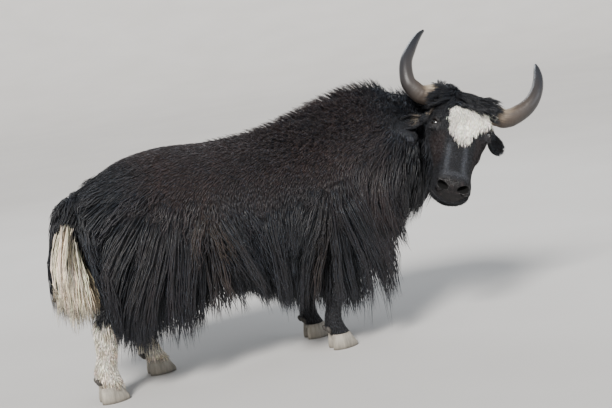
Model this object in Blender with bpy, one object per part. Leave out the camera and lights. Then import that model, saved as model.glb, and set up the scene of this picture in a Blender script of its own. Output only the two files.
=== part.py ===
"""A life-size standing yak with its head turned to its right, as a still model.

Metres, +Z up, +X the way the body faces, +Y its left side. The origin is under the middle of the model's box,
at the level of the soles. The torso, neck, head, tail, legs, hooves, ears, eyes and horns are separate solids
that meet face to face. The long coat is built as flat, tapered locks fused to the solid that they grow from.
"""

import math
import random

import bmesh
import bpy
import numpy as np
from mathutils import Matrix, Vector

GAP = 0.0003
SPARE = 0.020
SEED = 7

# The torso's sections along X: place, crest height, height of the widest part, belly height and half width.
TORSO = np.array([
    (-1.300, 1.015, 0.900, 0.780, 0.100),
    (-1.240, 1.090, 0.880, 0.690, 0.190),
    (-1.130, 1.158, 0.860, 0.620, 0.262),
    (-0.980, 1.228, 0.850, 0.575, 0.305),
    (-0.800, 1.258, 0.850, 0.560, 0.325),
    (-0.500, 1.248, 0.830, 0.540, 0.365),
    (-0.200, 1.262, 0.820, 0.530, 0.372),
    (0.050, 1.312, 0.830, 0.540, 0.345),
    (0.220, 1.362, 0.850, 0.560, 0.330),
    (0.380, 1.398, 0.880, 0.600, 0.312),
    (0.500, 1.398, 0.910, 0.655, 0.275),
    (0.560, 1.388, 0.930, 0.700, 0.248),
])
REAR_X, NECK_X = TORSO[0, 0], TORSO[-1, 0]
CREST_POWER, FLANK_POWER = 1.25, 0.85
TORSO_RINGS, TORSO_SIDES = 18, 20

# The lowest reach of the skirt's hair along X.
HEM = np.array([
    (-1.280, 0.470), (-1.150, 0.340), (-1.000, 0.245), (-0.800, 0.310), (-0.650, 0.360), (-0.440, 0.370),
    (-0.220, 0.325), (0.030, 0.250), (0.140, 0.235), (0.210, 0.260), (0.290, 0.320), (0.350, 0.380),
    (0.400, 0.490), (0.470, 0.590), (0.560, 0.680),
])

# The head's place and turn. Its own axes are +X out of the forehead, +Y to its left and +Z from muzzle to poll.
HEAD_PLACE, HEAD_SIZE = Vector((0.915, -0.320, 1.241)), 1.035
HEAD_YAW, HEAD_PITCH, HEAD_ROLL = math.radians(-93.8), math.radians(-31.6), math.radians(-26.2)
# Sections down the head: distance from the poll, forehead line, widest line, jaw line and half width.
HEAD = np.array([
    (-0.070, -0.050, -0.085, -0.120, 0.065),
    (-0.040, 0.000, -0.085, -0.165, 0.112),
    (0.010, 0.040, -0.075, -0.205, 0.146),
    (0.070, 0.062, -0.070, -0.228, 0.162),
    (0.130, 0.068, -0.065, -0.242, 0.168),
    (0.185, 0.062, -0.065, -0.250, 0.162),
    (0.245, 0.050, -0.070, -0.245, 0.144),
    (0.315, 0.040, -0.070, -0.215, 0.121),
    (0.385, 0.034, -0.065, -0.180, 0.102),
    (0.445, 0.032, -0.060, -0.162, 0.098),
    (0.500, 0.022, -0.060, -0.156, 0.106),
    (0.540, -0.004, -0.065, -0.146, 0.102),
    (0.566, -0.032, -0.072, -0.124, 0.083),
    (0.582, -0.058, -0.080, -0.104, 0.052),
])
HEAD_RINGS, HEAD_SIDES = 21, 18
# The neck leaves the head behind a plane through the poll and the throat, given in the head's axes.
POLL, THROAT = Vector((-0.075, 0, 0.045)), Vector((-0.250, 0, -0.200))

EYE_PLACE, EYE_RADIUS, LID_THICKNESS = Vector((0.004, 0.136, -0.178)), 0.024, 0.007
EYE_SLIT = (0.021, 0.0125)
MOUTH = [(-0.107, 0.094, -0.425), (-0.110, 0.098, -0.470), (-0.108, 0.099, -0.515), (-0.104, 0.086, -0.556),
         (-0.098, 0.050, -0.580), (-0.097, 0.000, -0.583)]
MOUTH_STEPS, MOUTH_RADIUS = 19, 0.005
# Rounded forms on both sides of the head: name, place and radii.
HEAD_FORMS = [
    ("brow", (0.022, 0.126, -0.138), (0.030, 0.036, 0.034)),
    ("nostril_rim", (-0.014, 0.068, -0.528), (0.028, 0.028, 0.032)),
]
LOWER_LIP, LOWER_LIP_RADII = (-0.108, 0, -0.545), (0.028, 0.062, 0.034)
NOSTRIL, NOSTRIL_RADII = (0.006, 0.056, -0.536), (0.026, 0.028, 0.015)

EAR_ROOT, EAR_LENGTH = Vector((-0.105, 0.186, -0.102)), 0.125
# The way that each ear points from its root, by side.
EAR_WAYS = {1: (-0.62, 0.66, -0.30), -1: (-0.34, 0.90, -0.30)}
# The ear's sections: distance from its root, outer radius and wall.
EAR_SECTIONS = [(GAP, 0.020, 0.012), (0.020, 0.029, 0.010), (0.045, 0.038, 0.009), (0.075, 0.041, 0.008),
                (0.105, 0.034, 0.007), (0.130, 0.021, 0.006)]
EAR_STUB = [(-0.070, 0.026), (-0.020, 0.030), (0.0, 0.023)]
SIDE_NAMES = {1: "left", -1: "right"}

# The horns' lines from root to tip, by side, and their thickness along them.
HORN_PATHS = {
    1: [(-0.030, 0.172, -0.015), (-0.030, 0.246, -0.017), (-0.015, 0.317, 0.037), (0.000, 0.362, 0.100),
        (0.005, 0.385, 0.180), (0.000, 0.389, 0.260), (-0.015, 0.381, 0.330), (-0.030, 0.374, 0.375)],
    -1: [(-0.030, 0.172, 0.020), (-0.030, 0.230, 0.000), (-0.015, 0.280, 0.012), (0.000, 0.325, 0.047),
         (0.005, 0.350, 0.149), (0.000, 0.335, 0.252), (-0.015, 0.308, 0.350), (-0.030, 0.280, 0.410)],
}
HORN_RADII = [0.055, 0.051, 0.046, 0.040, 0.034, 0.028, 0.019, 0.008]
HORN_STEPS, HORN_SIDES, HORN_TIP = 13, 10, 0.012
PEDICLE_RADII = (0.060, 0.068, 0.061)

# The neck's sections from the torso to the head: half width, height above its line and depth below it.
NECK = np.array([
    (0.00, 0.248, 0.422, 0.230),
    (0.30, 0.215, 0.340, 0.235),
    (0.60, 0.180, 0.265, 0.225),
    (0.85, 0.155, 0.210, 0.205),
    (1.00, 0.145, 0.185, 0.190),
])
NECK_RINGS, NECK_SIDES = 12, 20

# Limbs from top to sole: forward place, distance from the middle, height, half length and half width.
FORE = np.array([
    (0.180, 0.190, 0.900, 0.150, 0.110),
    (0.150, 0.200, 0.700, 0.110, 0.085),
    (0.100, 0.190, 0.500, 0.078, 0.068),
    (0.070, 0.180, 0.380, 0.062, 0.060),
    (0.060, 0.178, 0.330, 0.064, 0.062),
    (0.035, 0.176, 0.240, 0.047, 0.047),
    (0.020, 0.175, 0.165, 0.050, 0.052),
    (0.024, 0.175, 0.130, 0.056, 0.056),
    (0.048, 0.175, 0.085, 0.056, 0.056),
])
HIND = np.array([
    (0.300, 0.170, 0.900, 0.200, 0.120),
    (0.180, 0.190, 0.680, 0.150, 0.098),
    (0.040, 0.190, 0.500, 0.095, 0.075),
    (-0.030, 0.184, 0.410, 0.078, 0.062),
    (-0.030, 0.180, 0.340, 0.062, 0.056),
    (-0.015, 0.178, 0.240, 0.052, 0.052),
    (-0.012, 0.176, 0.165, 0.058, 0.056),
    (0.004, 0.176, 0.125, 0.062, 0.060),
    (0.034, 0.176, 0.085, 0.058, 0.058),
])
LEG_CUT, STUB_TOP = 0.500, 0.80
LEG_RINGS, STUB_RINGS, LEG_SIDES = 11, 5, 10
HOOF_HEIGHT, HOOF_LENGTH, CLAW_WIDTH, CLAW_GAP, CLAW_SIDES = 0.085, 0.150, 0.060, 0.008, 12
# A claw's sections: height, reach of its toe and of its heel, and width, as shares of the hoof's.
CLAW_SECTIONS = ((0.0, 0.60, 0.40, 1.00), (0.020, 0.59, 0.41, 1.03), (HOOF_HEIGHT, 0.34, 0.36, 0.92))
DEWCLAW_HEIGHT, DEWCLAW_APART, DEWCLAW_RADII = 0.118, 0.026, (0.013, 0.014, 0.020)
WEB_SIZE = (0.060, 0.050, 0.034, 1)
# Each foot: side, limb, how far the limb is set along X, and how far the foot is set on from there.
FEET = {
    "front_right": (-1, FORE, 0.000, 0.000),
    "front_left": (1, FORE, -0.016, 0.000),
    "hind_right": (-1, HIND, -1.160, -0.140),
    "hind_left": (1, HIND, -0.945, 0.000),
}

# The tail leaves the torso behind an upright plane and hangs behind the rump.
TAIL_X, TAIL_STEPS, TAIL_SIDES = -1.285, 10, 10
TAIL_DOCK = [(-1.200, 0.000, 1.060, 0.055), (-1.285, 0.000, 1.010, 0.055), (-1.322, -0.020, 0.920, 0.058),
             (-1.342, -0.045, 0.800, 0.062), (-1.348, -0.055, 0.680, 0.050), (-1.345, -0.060, 0.560, 0.025)]
# The middle of the tail by height, given as the height below the floor's level, X and Y.
TAIL_LINE = np.array([
    (-1.010, -1.285, 0.000), (-0.920, -1.322, -0.020), (-0.800, -1.345, -0.045), (-0.690, -1.350, -0.058),
    (-0.560, -1.340, -0.060), (-0.420, -1.328, -0.060),
])

# How far along a lock each ring sits, and its share of the full width and thickness.
LOCK_STEPS = ((0.00, 0.75, 1.00), (0.30, 0.98, 0.90), (0.62, 1.00, 0.70), (0.87, 0.66, 0.45),
              (1.00, 0.00, 0.00))
# The height of the long coat's start, how far its locks stay out beside the legs, and where they fan out from.
DRAPE_TOP, LEG_CLEARANCE, FAN_X, FAN_SPREAD, FAN_REACH = 0.83, 0.305, 0.030, 0.42, 0.30
RUMP_X, RUMP_SWEEP, RUMP_RISE = -0.70, 0.16, 0.07
# Rows of locks down the flank: count, height of root, lowest tip (None for the hem), lift, width and first place.
FLANK_ROWS = ((10, 0.90, 0.50, 0.030, 0.235, -1.195), (13, 0.72, None, 0.000, 0.225, -1.215))
FLANK_END, FLANK_LOCK = 0.450, 0.034
# Locks of the chest: forward place, distance from the middle, heights of root and tip, and sweep to the back.
CHEST_LOCKS = ((0.520, 0.07, 0.78, 0.44, 0.080), (0.500, 0.19, 0.80, 0.50, 0.070),
               (0.420, 0.13, 0.70, 0.35, 0.060), (0.330, 0.05, 0.66, 0.25, 0.060),
               (0.320, 0.20, 0.68, 0.27, 0.050))
CHEST_WIDTH, CHEST_THICKNESS = 0.150, 0.036
# Locks of the thighs: distance from the middle, and heights of root and tip.
REAR_LOCKS = ((0.135, 0.93, 0.56), (0.215, 0.86, 0.53))
REAR_LOCK_X, REAR_WIDTH, REAR_THICKNESS = -1.268, 0.120, 0.026
# Locks of the crest: forward place, lift and side.
CREST_LOCKS = ((0.52, 0.030, 1), (0.50, 0.036, -1), (0.38, 0.034, 1), (0.33, 0.034, -1), (0.21, 0.026, 1),
               (0.15, 0.024, -1), (-0.66, 0.014, 1), (-0.72, 0.016, -1))
CREST_LENGTH, CREST_WIDTH, CREST_THICKNESS = 0.255, 0.140, 0.026
# Locks of the neck by side: their places along it.
NECK_LOCK_PLACES = {1: (0.14, 0.38, 0.62, 0.84), -1: (0.30, 0.70)}
# Each of them in three tiers: further along, angle of root and tip, drift to the back, lift and width.
NECK_TIERS = ((0.00, 82, 38, 0.10, 0.038, 0.135), (0.06, 42, -8, 0.08, 0.026, 0.150),
              (0.00, 2, -52, 0.06, 0.026, 0.150))
NECK_THICKNESS, LOCK_DEPTH = 0.030, 0.035
# Locks under the neck: place along it, distance from its middle and length.
THROAT_LOCKS = ((0.10, 0.07, 0.17), (0.34, 0.06, 0.16), (0.60, 0.05, 0.12))
THROAT_WIDTH, THROAT_THICKNESS = 0.170, 0.040
# Locks of the forehead: angle round it, distance of the root from the poll, length and lift.
FOREHEAD_LOCKS = ((90, -0.030, 0.115, 0.040), (72, -0.025, 0.110, 0.038), (108, -0.025, 0.110, 0.038),
                  (56, -0.020, 0.100, 0.034), (124, -0.020, 0.100, 0.034), (90, 0.030, 0.095, 0.026),
                  (62, 0.040, 0.085, 0.022), (118, 0.040, 0.085, 0.022))
FOREHEAD_DEPTH, FOREHEAD_WIDTH, FOREHEAD_THICKNESS = 0.025, 0.080, 0.024
# Rows of locks round the tail: count, heights of root and tip, reach and turn.
TAIL_ROWS = ((5, 0.96, 0.60, 0.075, 0.3), (8, 0.80, 0.45, 0.100, 0.0))
TAIL_WIDTH, TAIL_THICKNESS = 0.120, 0.028

BLACK = (0.018, 0.015, 0.016)
COLOURS = {
    "coat_black": (BLACK, 0.75),
    "coat_white": ((0.72, 0.64, 0.50), 0.80),
    "horn": ((0.28, 0.25, 0.22), 0.35),
    "hoof": ((0.42, 0.39, 0.33), 0.55),
    "eye": ((0.010, 0.008, 0.008), 0.08),
}


def smooth(table, column, place):
    """A column of a table of sections at a place between them, on a smooth curve through its values."""
    xs, ys = table[:, 0], table[:, column]
    slopes = np.gradient(ys, xs)
    i = int(np.clip(np.searchsorted(xs, place) - 1, 0, len(xs) - 2))
    step = xs[i + 1] - xs[i]
    t = (place - xs[i]) / step
    return float((1 + 2 * t) * (1 - t) ** 2 * ys[i] + t * (1 - t) ** 2 * step * slopes[i]
                 + t * t * (3 - 2 * t) * ys[i + 1] + t * t * (t - 1) * step * slopes[i + 1])


def signed_power(value, power):
    return math.copysign(abs(value) ** power, value)


def material(slot):
    found = bpy.data.materials.get(slot)
    if found:
        return found
    colour, roughness = COLOURS[slot]
    made = bpy.data.materials.new(slot)
    made.use_nodes = True
    shader = made.node_tree.nodes["Principled BSDF"]
    shader.inputs["Base Color"].default_value = (*colour, 1)
    shader.inputs["Roughness"].default_value = roughness
    shader.inputs["Metallic"].default_value = 0
    return made


def object_from(name, builder, slot):
    """A mesh object from a bmesh, with its faces turned outwards."""
    bmesh.ops.recalc_face_normals(builder, faces=builder.faces)
    mesh = bpy.data.meshes.new(name)
    builder.to_mesh(mesh)
    builder.free()
    mesh.materials.append(material(slot))
    made = bpy.data.objects.new(name, mesh)
    bpy.context.scene.collection.objects.link(made)
    return made


def loft(name, rings, slot, tip=None):
    """A closed solid through rings of equal counts, with flat ends or a point beyond the last ring."""
    builder = bmesh.new()
    rows = [[builder.verts.new(p) for p in ring] for ring in rings]
    count = len(rows[0])
    for lower, upper in zip(rows, rows[1:]):
        for i in range(count):
            j = (i + 1) % count
            builder.faces.new((lower[i], lower[j], upper[j], upper[i]))
    builder.faces.new(rows[0][::-1])
    if tip is None:
        builder.faces.new(rows[-1])
    else:
        point = builder.verts.new(tip)
        for i in range(count):
            builder.faces.new((rows[-1][i], rows[-1][(i + 1) % count], point))
    bmesh.ops.triangulate(builder, faces=builder.faces)
    return object_from(name, builder, slot)


def bezier(points, t):
    """A point of the Bezier curve through four control points."""
    a, b, c, d = (Vector(p) for p in points)
    return a * (1 - t) ** 3 + b * 3 * t * (1 - t) ** 2 + c * 3 * t * t * (1 - t) + d * t ** 3


def applied(obj):
    """The object with its modifiers made into its mesh."""
    graph = bpy.context.evaluated_depsgraph_get()
    mesh = bpy.data.meshes.new_from_object(obj.evaluated_get(graph))
    obj.modifiers.clear()
    obj.data = mesh
    return obj


def combine(obj, others, operation):
    """One Boolean of the object with a collection of closed solids, which are then removed."""
    group = bpy.data.collections.new("pieces")
    bpy.context.scene.collection.children.link(group)
    for other in others:
        group.objects.link(other)
    change = obj.modifiers.new(operation.lower(), "BOOLEAN")
    change.operation = operation
    change.operand_type = "COLLECTION"
    change.collection = group
    change.solver = "MANIFOLD"
    applied(obj)
    for other in others:
        bpy.data.objects.remove(other)
    bpy.data.collections.remove(group)
    return keep_largest(obj)


def keep_largest(obj):
    """Drops every closed surface of the object's mesh but the one that holds the most volume."""
    builder = bmesh.new()
    builder.from_mesh(obj.data)
    left, islands = set(builder.verts), []
    while left:
        seeds, island = [left.pop()], set()
        while seeds:
            vertex = seeds.pop()
            island.add(vertex)
            for edge in vertex.link_edges:
                other = edge.other_vert(vertex)
                if other in left:
                    left.discard(other)
                    seeds.append(other)
        islands.append(island)
    if len(islands) > 1:
        islands.sort(key=lambda island: enclosed(island), reverse=True)
        loose = [vertex for island in islands[1:] for vertex in island]
        bmesh.ops.delete(builder, geom=loose, context="VERTS")
    bmesh.ops.triangulate(builder, faces=builder.faces)
    builder.to_mesh(obj.data)
    builder.free()
    return obj


def enclosed(island):
    """The volume inside a closed surface, from its vertices."""
    faces = {face for vertex in island for face in vertex.link_faces}
    total = 0.0
    for face in faces:
        corners = [vertex.co for vertex in face.verts]
        for b, c in zip(corners[1:], corners[2:]):
            total += corners[0].dot(b.cross(c)) / 6
    return total


def half_space(name, point, towards, size=3.0):
    """A large block on the side of a plane that towards points to, and half a gap on its near side."""
    towards = Vector(towards).normalized()
    turn = towards.to_track_quat("Z", "Y").to_matrix().to_4x4()
    builder = bmesh.new()
    bmesh.ops.create_cube(builder, size=size)
    bmesh.ops.transform(builder, verts=builder.verts,
                        matrix=Matrix.Translation(Vector(point) + towards * (size - GAP) / 2) @ turn)
    return object_from(name, builder, "coat_black")


def lock(path, widths, thicknesses, across, slot="coat_black", name="lock"):
    """A flat, tapered lock of hair along a path: four-sided rings as wide as given, and a point at its tip."""
    rings = []
    for i, point in enumerate(path[:-1]):
        before, after = path[max(i - 1, 0)], path[i + 1]
        along = (after - before).normalized()
        side = (across - along * across.dot(along)).normalized()
        out = side.cross(along).normalized()
        half, deep = side * widths[i] / 2, out * thicknesses[i] / 2
        rings.append([point - half, point + deep, point + half, point - deep])
    return loft(name, rings, slot, tip=path[-1])


def torso_ring(x, sides):
    """The torso's section at X: a narrow crest above a broad, deep flank."""
    top, middle, bottom, half = (smooth(TORSO, column, x) for column in range(1, 5))
    ring = []
    for i in range(sides):
        angle = math.tau * i / sides
        c, s = math.cos(angle), math.sin(angle)
        if s >= 0:
            ring.append((x, half * signed_power(c, CREST_POWER), middle + (top - middle) * s))
        else:
            ring.append((x, half * signed_power(c, FLANK_POWER), middle + (middle - bottom) * s))
    return ring


def torso_half_width(x, z):
    """Half the torso's width at a height, from the same section."""
    top, middle, bottom, half = (smooth(TORSO, column, x) for column in range(1, 5))
    if z >= middle:
        s = min((z - middle) / (top - middle), 1)
        return half * (1 - s * s) ** (CREST_POWER / 2)
    s = min((middle - z) / (middle - bottom), 1)
    return half * (1 - s * s) ** (FLANK_POWER / 2)


def torso_core():
    xs = np.linspace(REAR_X, NECK_X + SPARE, TORSO_RINGS)
    return loft("torso", [torso_ring(x, TORSO_SIDES) for x in xs], "coat_black")


def limb_ring(foot, z, sides):
    """A level section of a limb at a height."""
    side, limb, shift, set_on = FEET[foot]
    shift += set_on * max(LEG_CUT - z, 0) / LEG_CUT
    by_height = limb[::-1][:, [2, 0, 1, 3, 4]]
    x, y, length, width = (smooth(by_height, column, z) for column in range(1, 5))
    return [(x + shift + length * math.cos(math.tau * i / sides),
             side * y + width * math.sin(math.tau * i / sides), z) for i in range(sides)]


def limb_part(name, foot, high, low, rings, slot):
    return loft(name, [limb_ring(foot, z, LEG_SIDES) for z in np.linspace(high, low, rings)], slot)


def claw(foot, inner):
    """One claw of a cloven hoof, flat below and behind, sloping to its toe."""
    side, limb, shift, set_on = FEET[foot]
    x, y = limb[-1, 0] + shift + set_on * 0.93, side * limb[-1, 1]
    out = -side if inner else side
    rings = []
    for z, toe, heel, wide in CLAW_SECTIONS:
        ring = []
        for i in range(CLAW_SIDES):
            angle = math.tau * i / CLAW_SIDES
            c, s = math.cos(angle), math.sin(angle)
            reach = (toe if c > 0 else heel) * HOOF_LENGTH
            spread = (0.5 + 0.5 * s) * (1 - 0.35 * max(c, 0) ** 2)
            ring.append((x + reach * c, y + out * (CLAW_GAP / 2 + spread * CLAW_WIDTH * wide), z))
        rings.append(ring)
    return loft("claw", rings, "hoof")


def hoof(foot):
    """Two claws joined by the web between them."""
    side, limb, shift, set_on = FEET[foot]
    x, y = limb[-1, 0] + shift + set_on * 0.93, side * limb[-1, 1]
    builder = bmesh.new()
    bmesh.ops.create_cube(builder, size=1.0)
    web = Matrix.Translation((x - 0.010, y, HOOF_HEIGHT - 0.020)) @ Matrix.Diagonal(WEB_SIZE)
    bmesh.ops.transform(builder, verts=builder.verts, matrix=web)
    joined = object_from("hoof_" + foot, builder, "hoof")
    return combine(joined, [claw(foot, False), claw(foot, True)], "UNION")


def dewclaw(foot, inner):
    """A small blunt claw that lies against the back of the fetlock."""
    side = FEET[foot][0]
    back = Vector(limb_ring(foot, DEWCLAW_HEIGHT, LEG_SIDES)[LEG_SIDES // 2])
    place = back + Vector((0.004, (-side if inner else side) * DEWCLAW_APART, 0))
    turn = Matrix.Rotation(math.radians(-28), 4, "Y")
    return ellipsoid("dewclaw", place, DEWCLAW_RADII, turn=turn, detail=1)


def leg(foot):
    slot = "coat_white" if foot.startswith("hind") else "coat_black"
    made = limb_part("leg_" + foot, foot, LEG_CUT - GAP, HOOF_HEIGHT + GAP, LEG_RINGS, slot)
    return combine(made, [dewclaw(foot, False), dewclaw(foot, True)], "UNION")


def limb_stub(foot):
    return limb_part("stub", foot, STUB_TOP, LEG_CUT, STUB_RINGS, "coat_black")


def head_matrix():
    turn = (Matrix.Rotation(HEAD_YAW, 4, "Z") @ Matrix.Rotation(HEAD_PITCH, 4, "Y")
            @ Matrix.Rotation(HEAD_ROLL, 4, "X"))
    return Matrix.Translation(HEAD_PLACE) @ turn @ Matrix.Scale(HEAD_SIZE, 4)


def head_point(distance, angle):
    """A point of the head's skin: its distance down from the poll and the angle round the section."""
    top, middle, bottom, half = (smooth(HEAD, column, distance) for column in range(1, 5))
    c, s = math.cos(angle), math.sin(angle)
    jaw = 0.42 if distance < 0.44 else 0.22
    if s >= 0:
        return Vector((middle + (top - middle) * signed_power(s, 0.85), half * signed_power(c, 0.72),
                       -distance))
    wide = half * signed_power(c, 0.85) * (1 - jaw * s * s)
    return Vector((middle + (middle - bottom) * signed_power(s, 0.95), wide, -distance))


def head_core():
    rings = []
    for distance in np.linspace(HEAD[0, 0], HEAD[-1, 0], HEAD_RINGS):
        rings.append([head_point(distance, math.tau * i / HEAD_SIDES) for i in range(HEAD_SIDES)])
    return loft("head", rings, "coat_black")


def ellipsoid(name, place, radii, slot="coat_black", turn=None, detail=2):
    """A closed ellipsoid in the head's axes, turned before it is placed."""
    builder = bmesh.new()
    bmesh.ops.create_icosphere(builder, subdivisions=detail, radius=1.0)
    matrix = Matrix.Translation(place) @ (turn or Matrix()) @ Matrix.Diagonal((*radii, 1))
    bmesh.ops.transform(builder, verts=builder.verts, matrix=matrix)
    return object_from(name, builder, slot)


def mirrored(point, side):
    return Vector((point[0], side * point[1], point[2]))


def tube(name, path, radii, sides, slot, tip=None):
    """A round solid along a path, each ring square to it."""
    rings = []
    across = Vector((0.31, 0.17, 0.94))
    for i, point in enumerate(path):
        along = (Vector(path[min(i + 1, len(path) - 1)]) - Vector(path[max(i - 1, 0)])).normalized()
        first = along.cross(across).normalized()
        second = along.cross(first)
        rings.append([Vector(point) + (first * math.cos(math.tau * k / sides)
                                       + second * math.sin(math.tau * k / sides)) * radii[i]
                      for k in range(sides)])
    return loft(name, rings, slot, tip=tip)


def spline(points, count):
    """Points on a smooth curve through the given ones, with any further columns carried along."""
    table = np.array([(i, *point) for i, point in enumerate(points)], float)
    places = np.linspace(0, len(points) - 1, count)
    return [[smooth(table, column, place) for column in range(1, table.shape[1])] for place in places]


def eye_axes(side):
    """Outwards, along the slit and across it, at the eye on that side, in the head's axes."""
    out = mirrored((0.34, 0.94, 0.0), side).normalized()
    slit = mirrored((0.30, -0.10, -0.95), side)
    slit = (slit - out * slit.dot(out)).normalized()
    return out, slit, out.cross(slit)


def eye_opening(side):
    """The almond-shaped cutter that parts the lids."""
    place, (out, slit, rise) = mirrored(EYE_PLACE, side), eye_axes(side)
    long, high = EYE_SLIT
    rings = []
    for reach, spread in ((0.010, 0.8), (0.050, 1.25)):
        ring = []
        for i in range(12):
            angle = math.tau * i / 12
            ring.append(place + out * reach + slit * (long * spread * math.cos(angle))
                        + rise * (high * spread * signed_power(math.sin(angle), 1.3)))
        rings.append(ring)
    return loft("eye_opening", rings, "coat_black")


def nostril(side):
    turn = Matrix.Rotation(side * math.radians(-38), 4, "X") @ Matrix.Rotation(math.radians(28), 4, "Y")
    return ellipsoid("nostril", mirrored(NOSTRIL, side), NOSTRIL_RADII, turn=turn)


def mouth_line():
    """A thin tube along the surface, from one corner of the mouth round the front to the other."""
    path = spline(MOUTH + [mirrored(p, -1) for p in MOUTH[-2::-1]], MOUTH_STEPS)
    radii = [MOUTH_RADIUS * (0.4 + 0.6 * min(i, MOUTH_STEPS - 1 - i, 3) / 3) for i in range(MOUTH_STEPS)]
    return tube("mouth_line", [Vector(p) for p in path], radii, 4, "coat_black")


def ear_frame(side):
    along = mirrored(EAR_WAYS[side], side).normalized()
    opening = mirrored((0.85, 0.25, -0.45), side)
    opening = (opening - along * opening.dot(along)).normalized()
    return along, opening, along.cross(opening)


def ear(side):
    """A cupped ear: crescent sections, open forwards."""
    along, opening, across = ear_frame(side)
    rings = []
    for distance, radius, wall in EAR_SECTIONS:
        middle = mirrored(EAR_ROOT, side) + along * distance
        outer, inner = [], []
        for k in range(7):
            angle = math.radians(-112 + 224 * k / 6)
            way = opening * (-0.62 * math.cos(angle)) + across * math.sin(angle)
            outer.append(middle + way * radius)
            inner.append(middle + way * (radius - wall))
        rings.append(outer + inner[::-1])
    return loft("ear_" + SIDE_NAMES[side], rings, "coat_black",
                tip=mirrored(EAR_ROOT, side) + along * EAR_LENGTH - opening * 0.008)


def horn(side):
    path = [Vector(p) for p in spline([mirrored(p, side) for p in HORN_PATHS[side]], HORN_STEPS)]
    radii = [p[0] for p in spline([(r,) for r in HORN_RADII], HORN_STEPS)]
    path[0] = path[0] + Vector((0, side * GAP, 0))
    rings = []
    for i, point in enumerate(path):
        along = path[min(i + 1, HORN_STEPS - 1)] - path[max(i - 1, 0)]
        along = along.normalized() if i else Vector((0, side, 0))
        first = Vector((1, 0, 0))
        first = (first - along * first.dot(along)).normalized()
        second = along.cross(first)
        angles = [math.tau * k / HORN_SIDES for k in range(HORN_SIDES)]
        rings.append([point + (first * math.cos(a) + second * math.sin(a)) * radii[i] for a in angles])
    tip = path[-1] + (path[-1] - path[-2]).normalized() * HORN_TIP
    return loft("horn_" + SIDE_NAMES[side], rings, "horn", tip=tip)


def pedicle(side):
    """The hairy foot that the horn stands on, with a flat end."""
    place = HORN_PATHS[side][0]
    path = [mirrored(p, side) for p in ((place[0] - 0.004, 0.060, place[2] - 0.006),
                                        (place[0], 0.135, place[2]), place)]
    rings = [[p + Vector((r * math.cos(math.tau * k / HORN_SIDES), 0, r * math.sin(math.tau * k / HORN_SIDES)))
              for k in range(HORN_SIDES)] for p, r in zip(path, PEDICLE_RADII)]
    return loft("pedicle", rings, "coat_black")


def ear_stub(side):
    along, opening, across = ear_frame(side)
    root = mirrored(EAR_ROOT, side)
    rings = []
    for distance, radius in EAR_STUB:
        ways = [opening * 0.7 * math.cos(math.tau * k / 8) + across * math.sin(math.tau * k / 8) for k in range(8)]
        rings.append([root + along * distance + way * radius for way in ways])
    return loft("ear_stub", rings, "coat_black")


def head_plane():
    """The middle of the plane between neck and head, its way towards the nose, and its way up."""
    up = (POLL - THROAT).normalized()
    return (POLL + THROAT) / 2, Vector((0, 1, 0)).cross(up), up


def head_parts():
    head = head_core()
    added = []
    for side in (1, -1):
        added += [pedicle(side), ear_stub(side)]
        added.append(ellipsoid("lids", mirrored(EYE_PLACE, side), (EYE_RADIUS + LID_THICKNESS,) * 3))
        added += [ellipsoid(name, mirrored(place, side), radii) for name, place, radii in HEAD_FORMS]
    added.append(ellipsoid("lower_lip", LOWER_LIP, LOWER_LIP_RADII))
    added += forehead_locks()
    combine(head, added, "UNION")
    middle, nose_way, _ = head_plane()
    removed = [mouth_line(), half_space("neck_side", middle, -nose_way)]
    for side in (1, -1):
        removed += [eye_opening(side), nostril(side),
                    ellipsoid("socket", mirrored(EYE_PLACE, side), (EYE_RADIUS + GAP,) * 3)]
    combine(head, removed, "DIFFERENCE")
    made = [head]
    for side in (1, -1):
        made += [horn(side), ear(side)]
        made.append(ellipsoid("eye_" + SIDE_NAMES[side], mirrored(EYE_PLACE, side), (EYE_RADIUS,) * 3, "eye"))
    for obj in made:
        obj.data.transform(head_matrix())
    return head


def neck_frame(t):
    """The neck's middle and its turn at t, from 0 at the torso to 1 at the head."""
    matrix = head_matrix()
    middle, way, up = head_plane()
    turn = matrix.to_quaternion()
    end, way, up, left = matrix @ middle, turn @ way, turn @ up, turn @ Vector((0, 1, 0))
    start = Vector((NECK_X, 0, smooth(TORSO, 2, NECK_X)))
    place = bezier((start, start + Vector((0.22, 0, 0.02)), end - way * 0.14, end), t)
    last = Matrix((way, left, up)).transposed().to_quaternion()
    blend = min(max(t, 0), 1)
    blend = blend * blend * (3 - 2 * blend)
    return place, Matrix().to_quaternion().slerp(last, blend)


def neck_point(t, angle, lift=0.0):
    """A point on the neck, or lifted off it, at an angle from its left side up over its crest."""
    place, turn = neck_frame(t)
    half, above, below = (smooth(NECK, column, min(max(t, 0), 1)) + lift for column in range(1, 4))
    c, s = math.cos(angle), math.sin(angle)
    power = CREST_POWER if s >= 0 else FLANK_POWER
    return place + turn @ Vector((0, half * signed_power(c, power), (above if s >= 0 else below) * s))


def neck_parts():
    rings = [[neck_point(t, math.tau * i / NECK_SIDES) for i in range(NECK_SIDES)]
             for t in np.linspace(-0.04, 1.04, NECK_RINGS)]
    neck = loft("neck", rings, "coat_black")
    combine(neck, neck_locks(), "UNION")
    middle, nose_way, _ = head_plane()
    matrix = head_matrix()
    cutters = [half_space("head_side", matrix @ middle, matrix.to_quaternion() @ nose_way),
               half_space("torso_side", (NECK_X, 0, 1), (-1, 0, 0))]
    return combine(neck, cutters, "DIFFERENCE")


def hair(points, width, thickness, across, slot="coat_black"):
    """A lock of hair along a smooth line: full for most of its length, then drawn in to a point."""
    table = np.array([(i / (len(points) - 1), *point) for i, point in enumerate(points)], float)
    path = [Vector([smooth(table, column, f) for column in (1, 2, 3)]) for f, _, _ in LOCK_STEPS]
    widths = [width * full for _, full, _ in LOCK_STEPS]
    thicknesses = [thickness * deep for _, _, deep in LOCK_STEPS]
    return lock(path, widths, thicknesses, across, slot)


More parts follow.
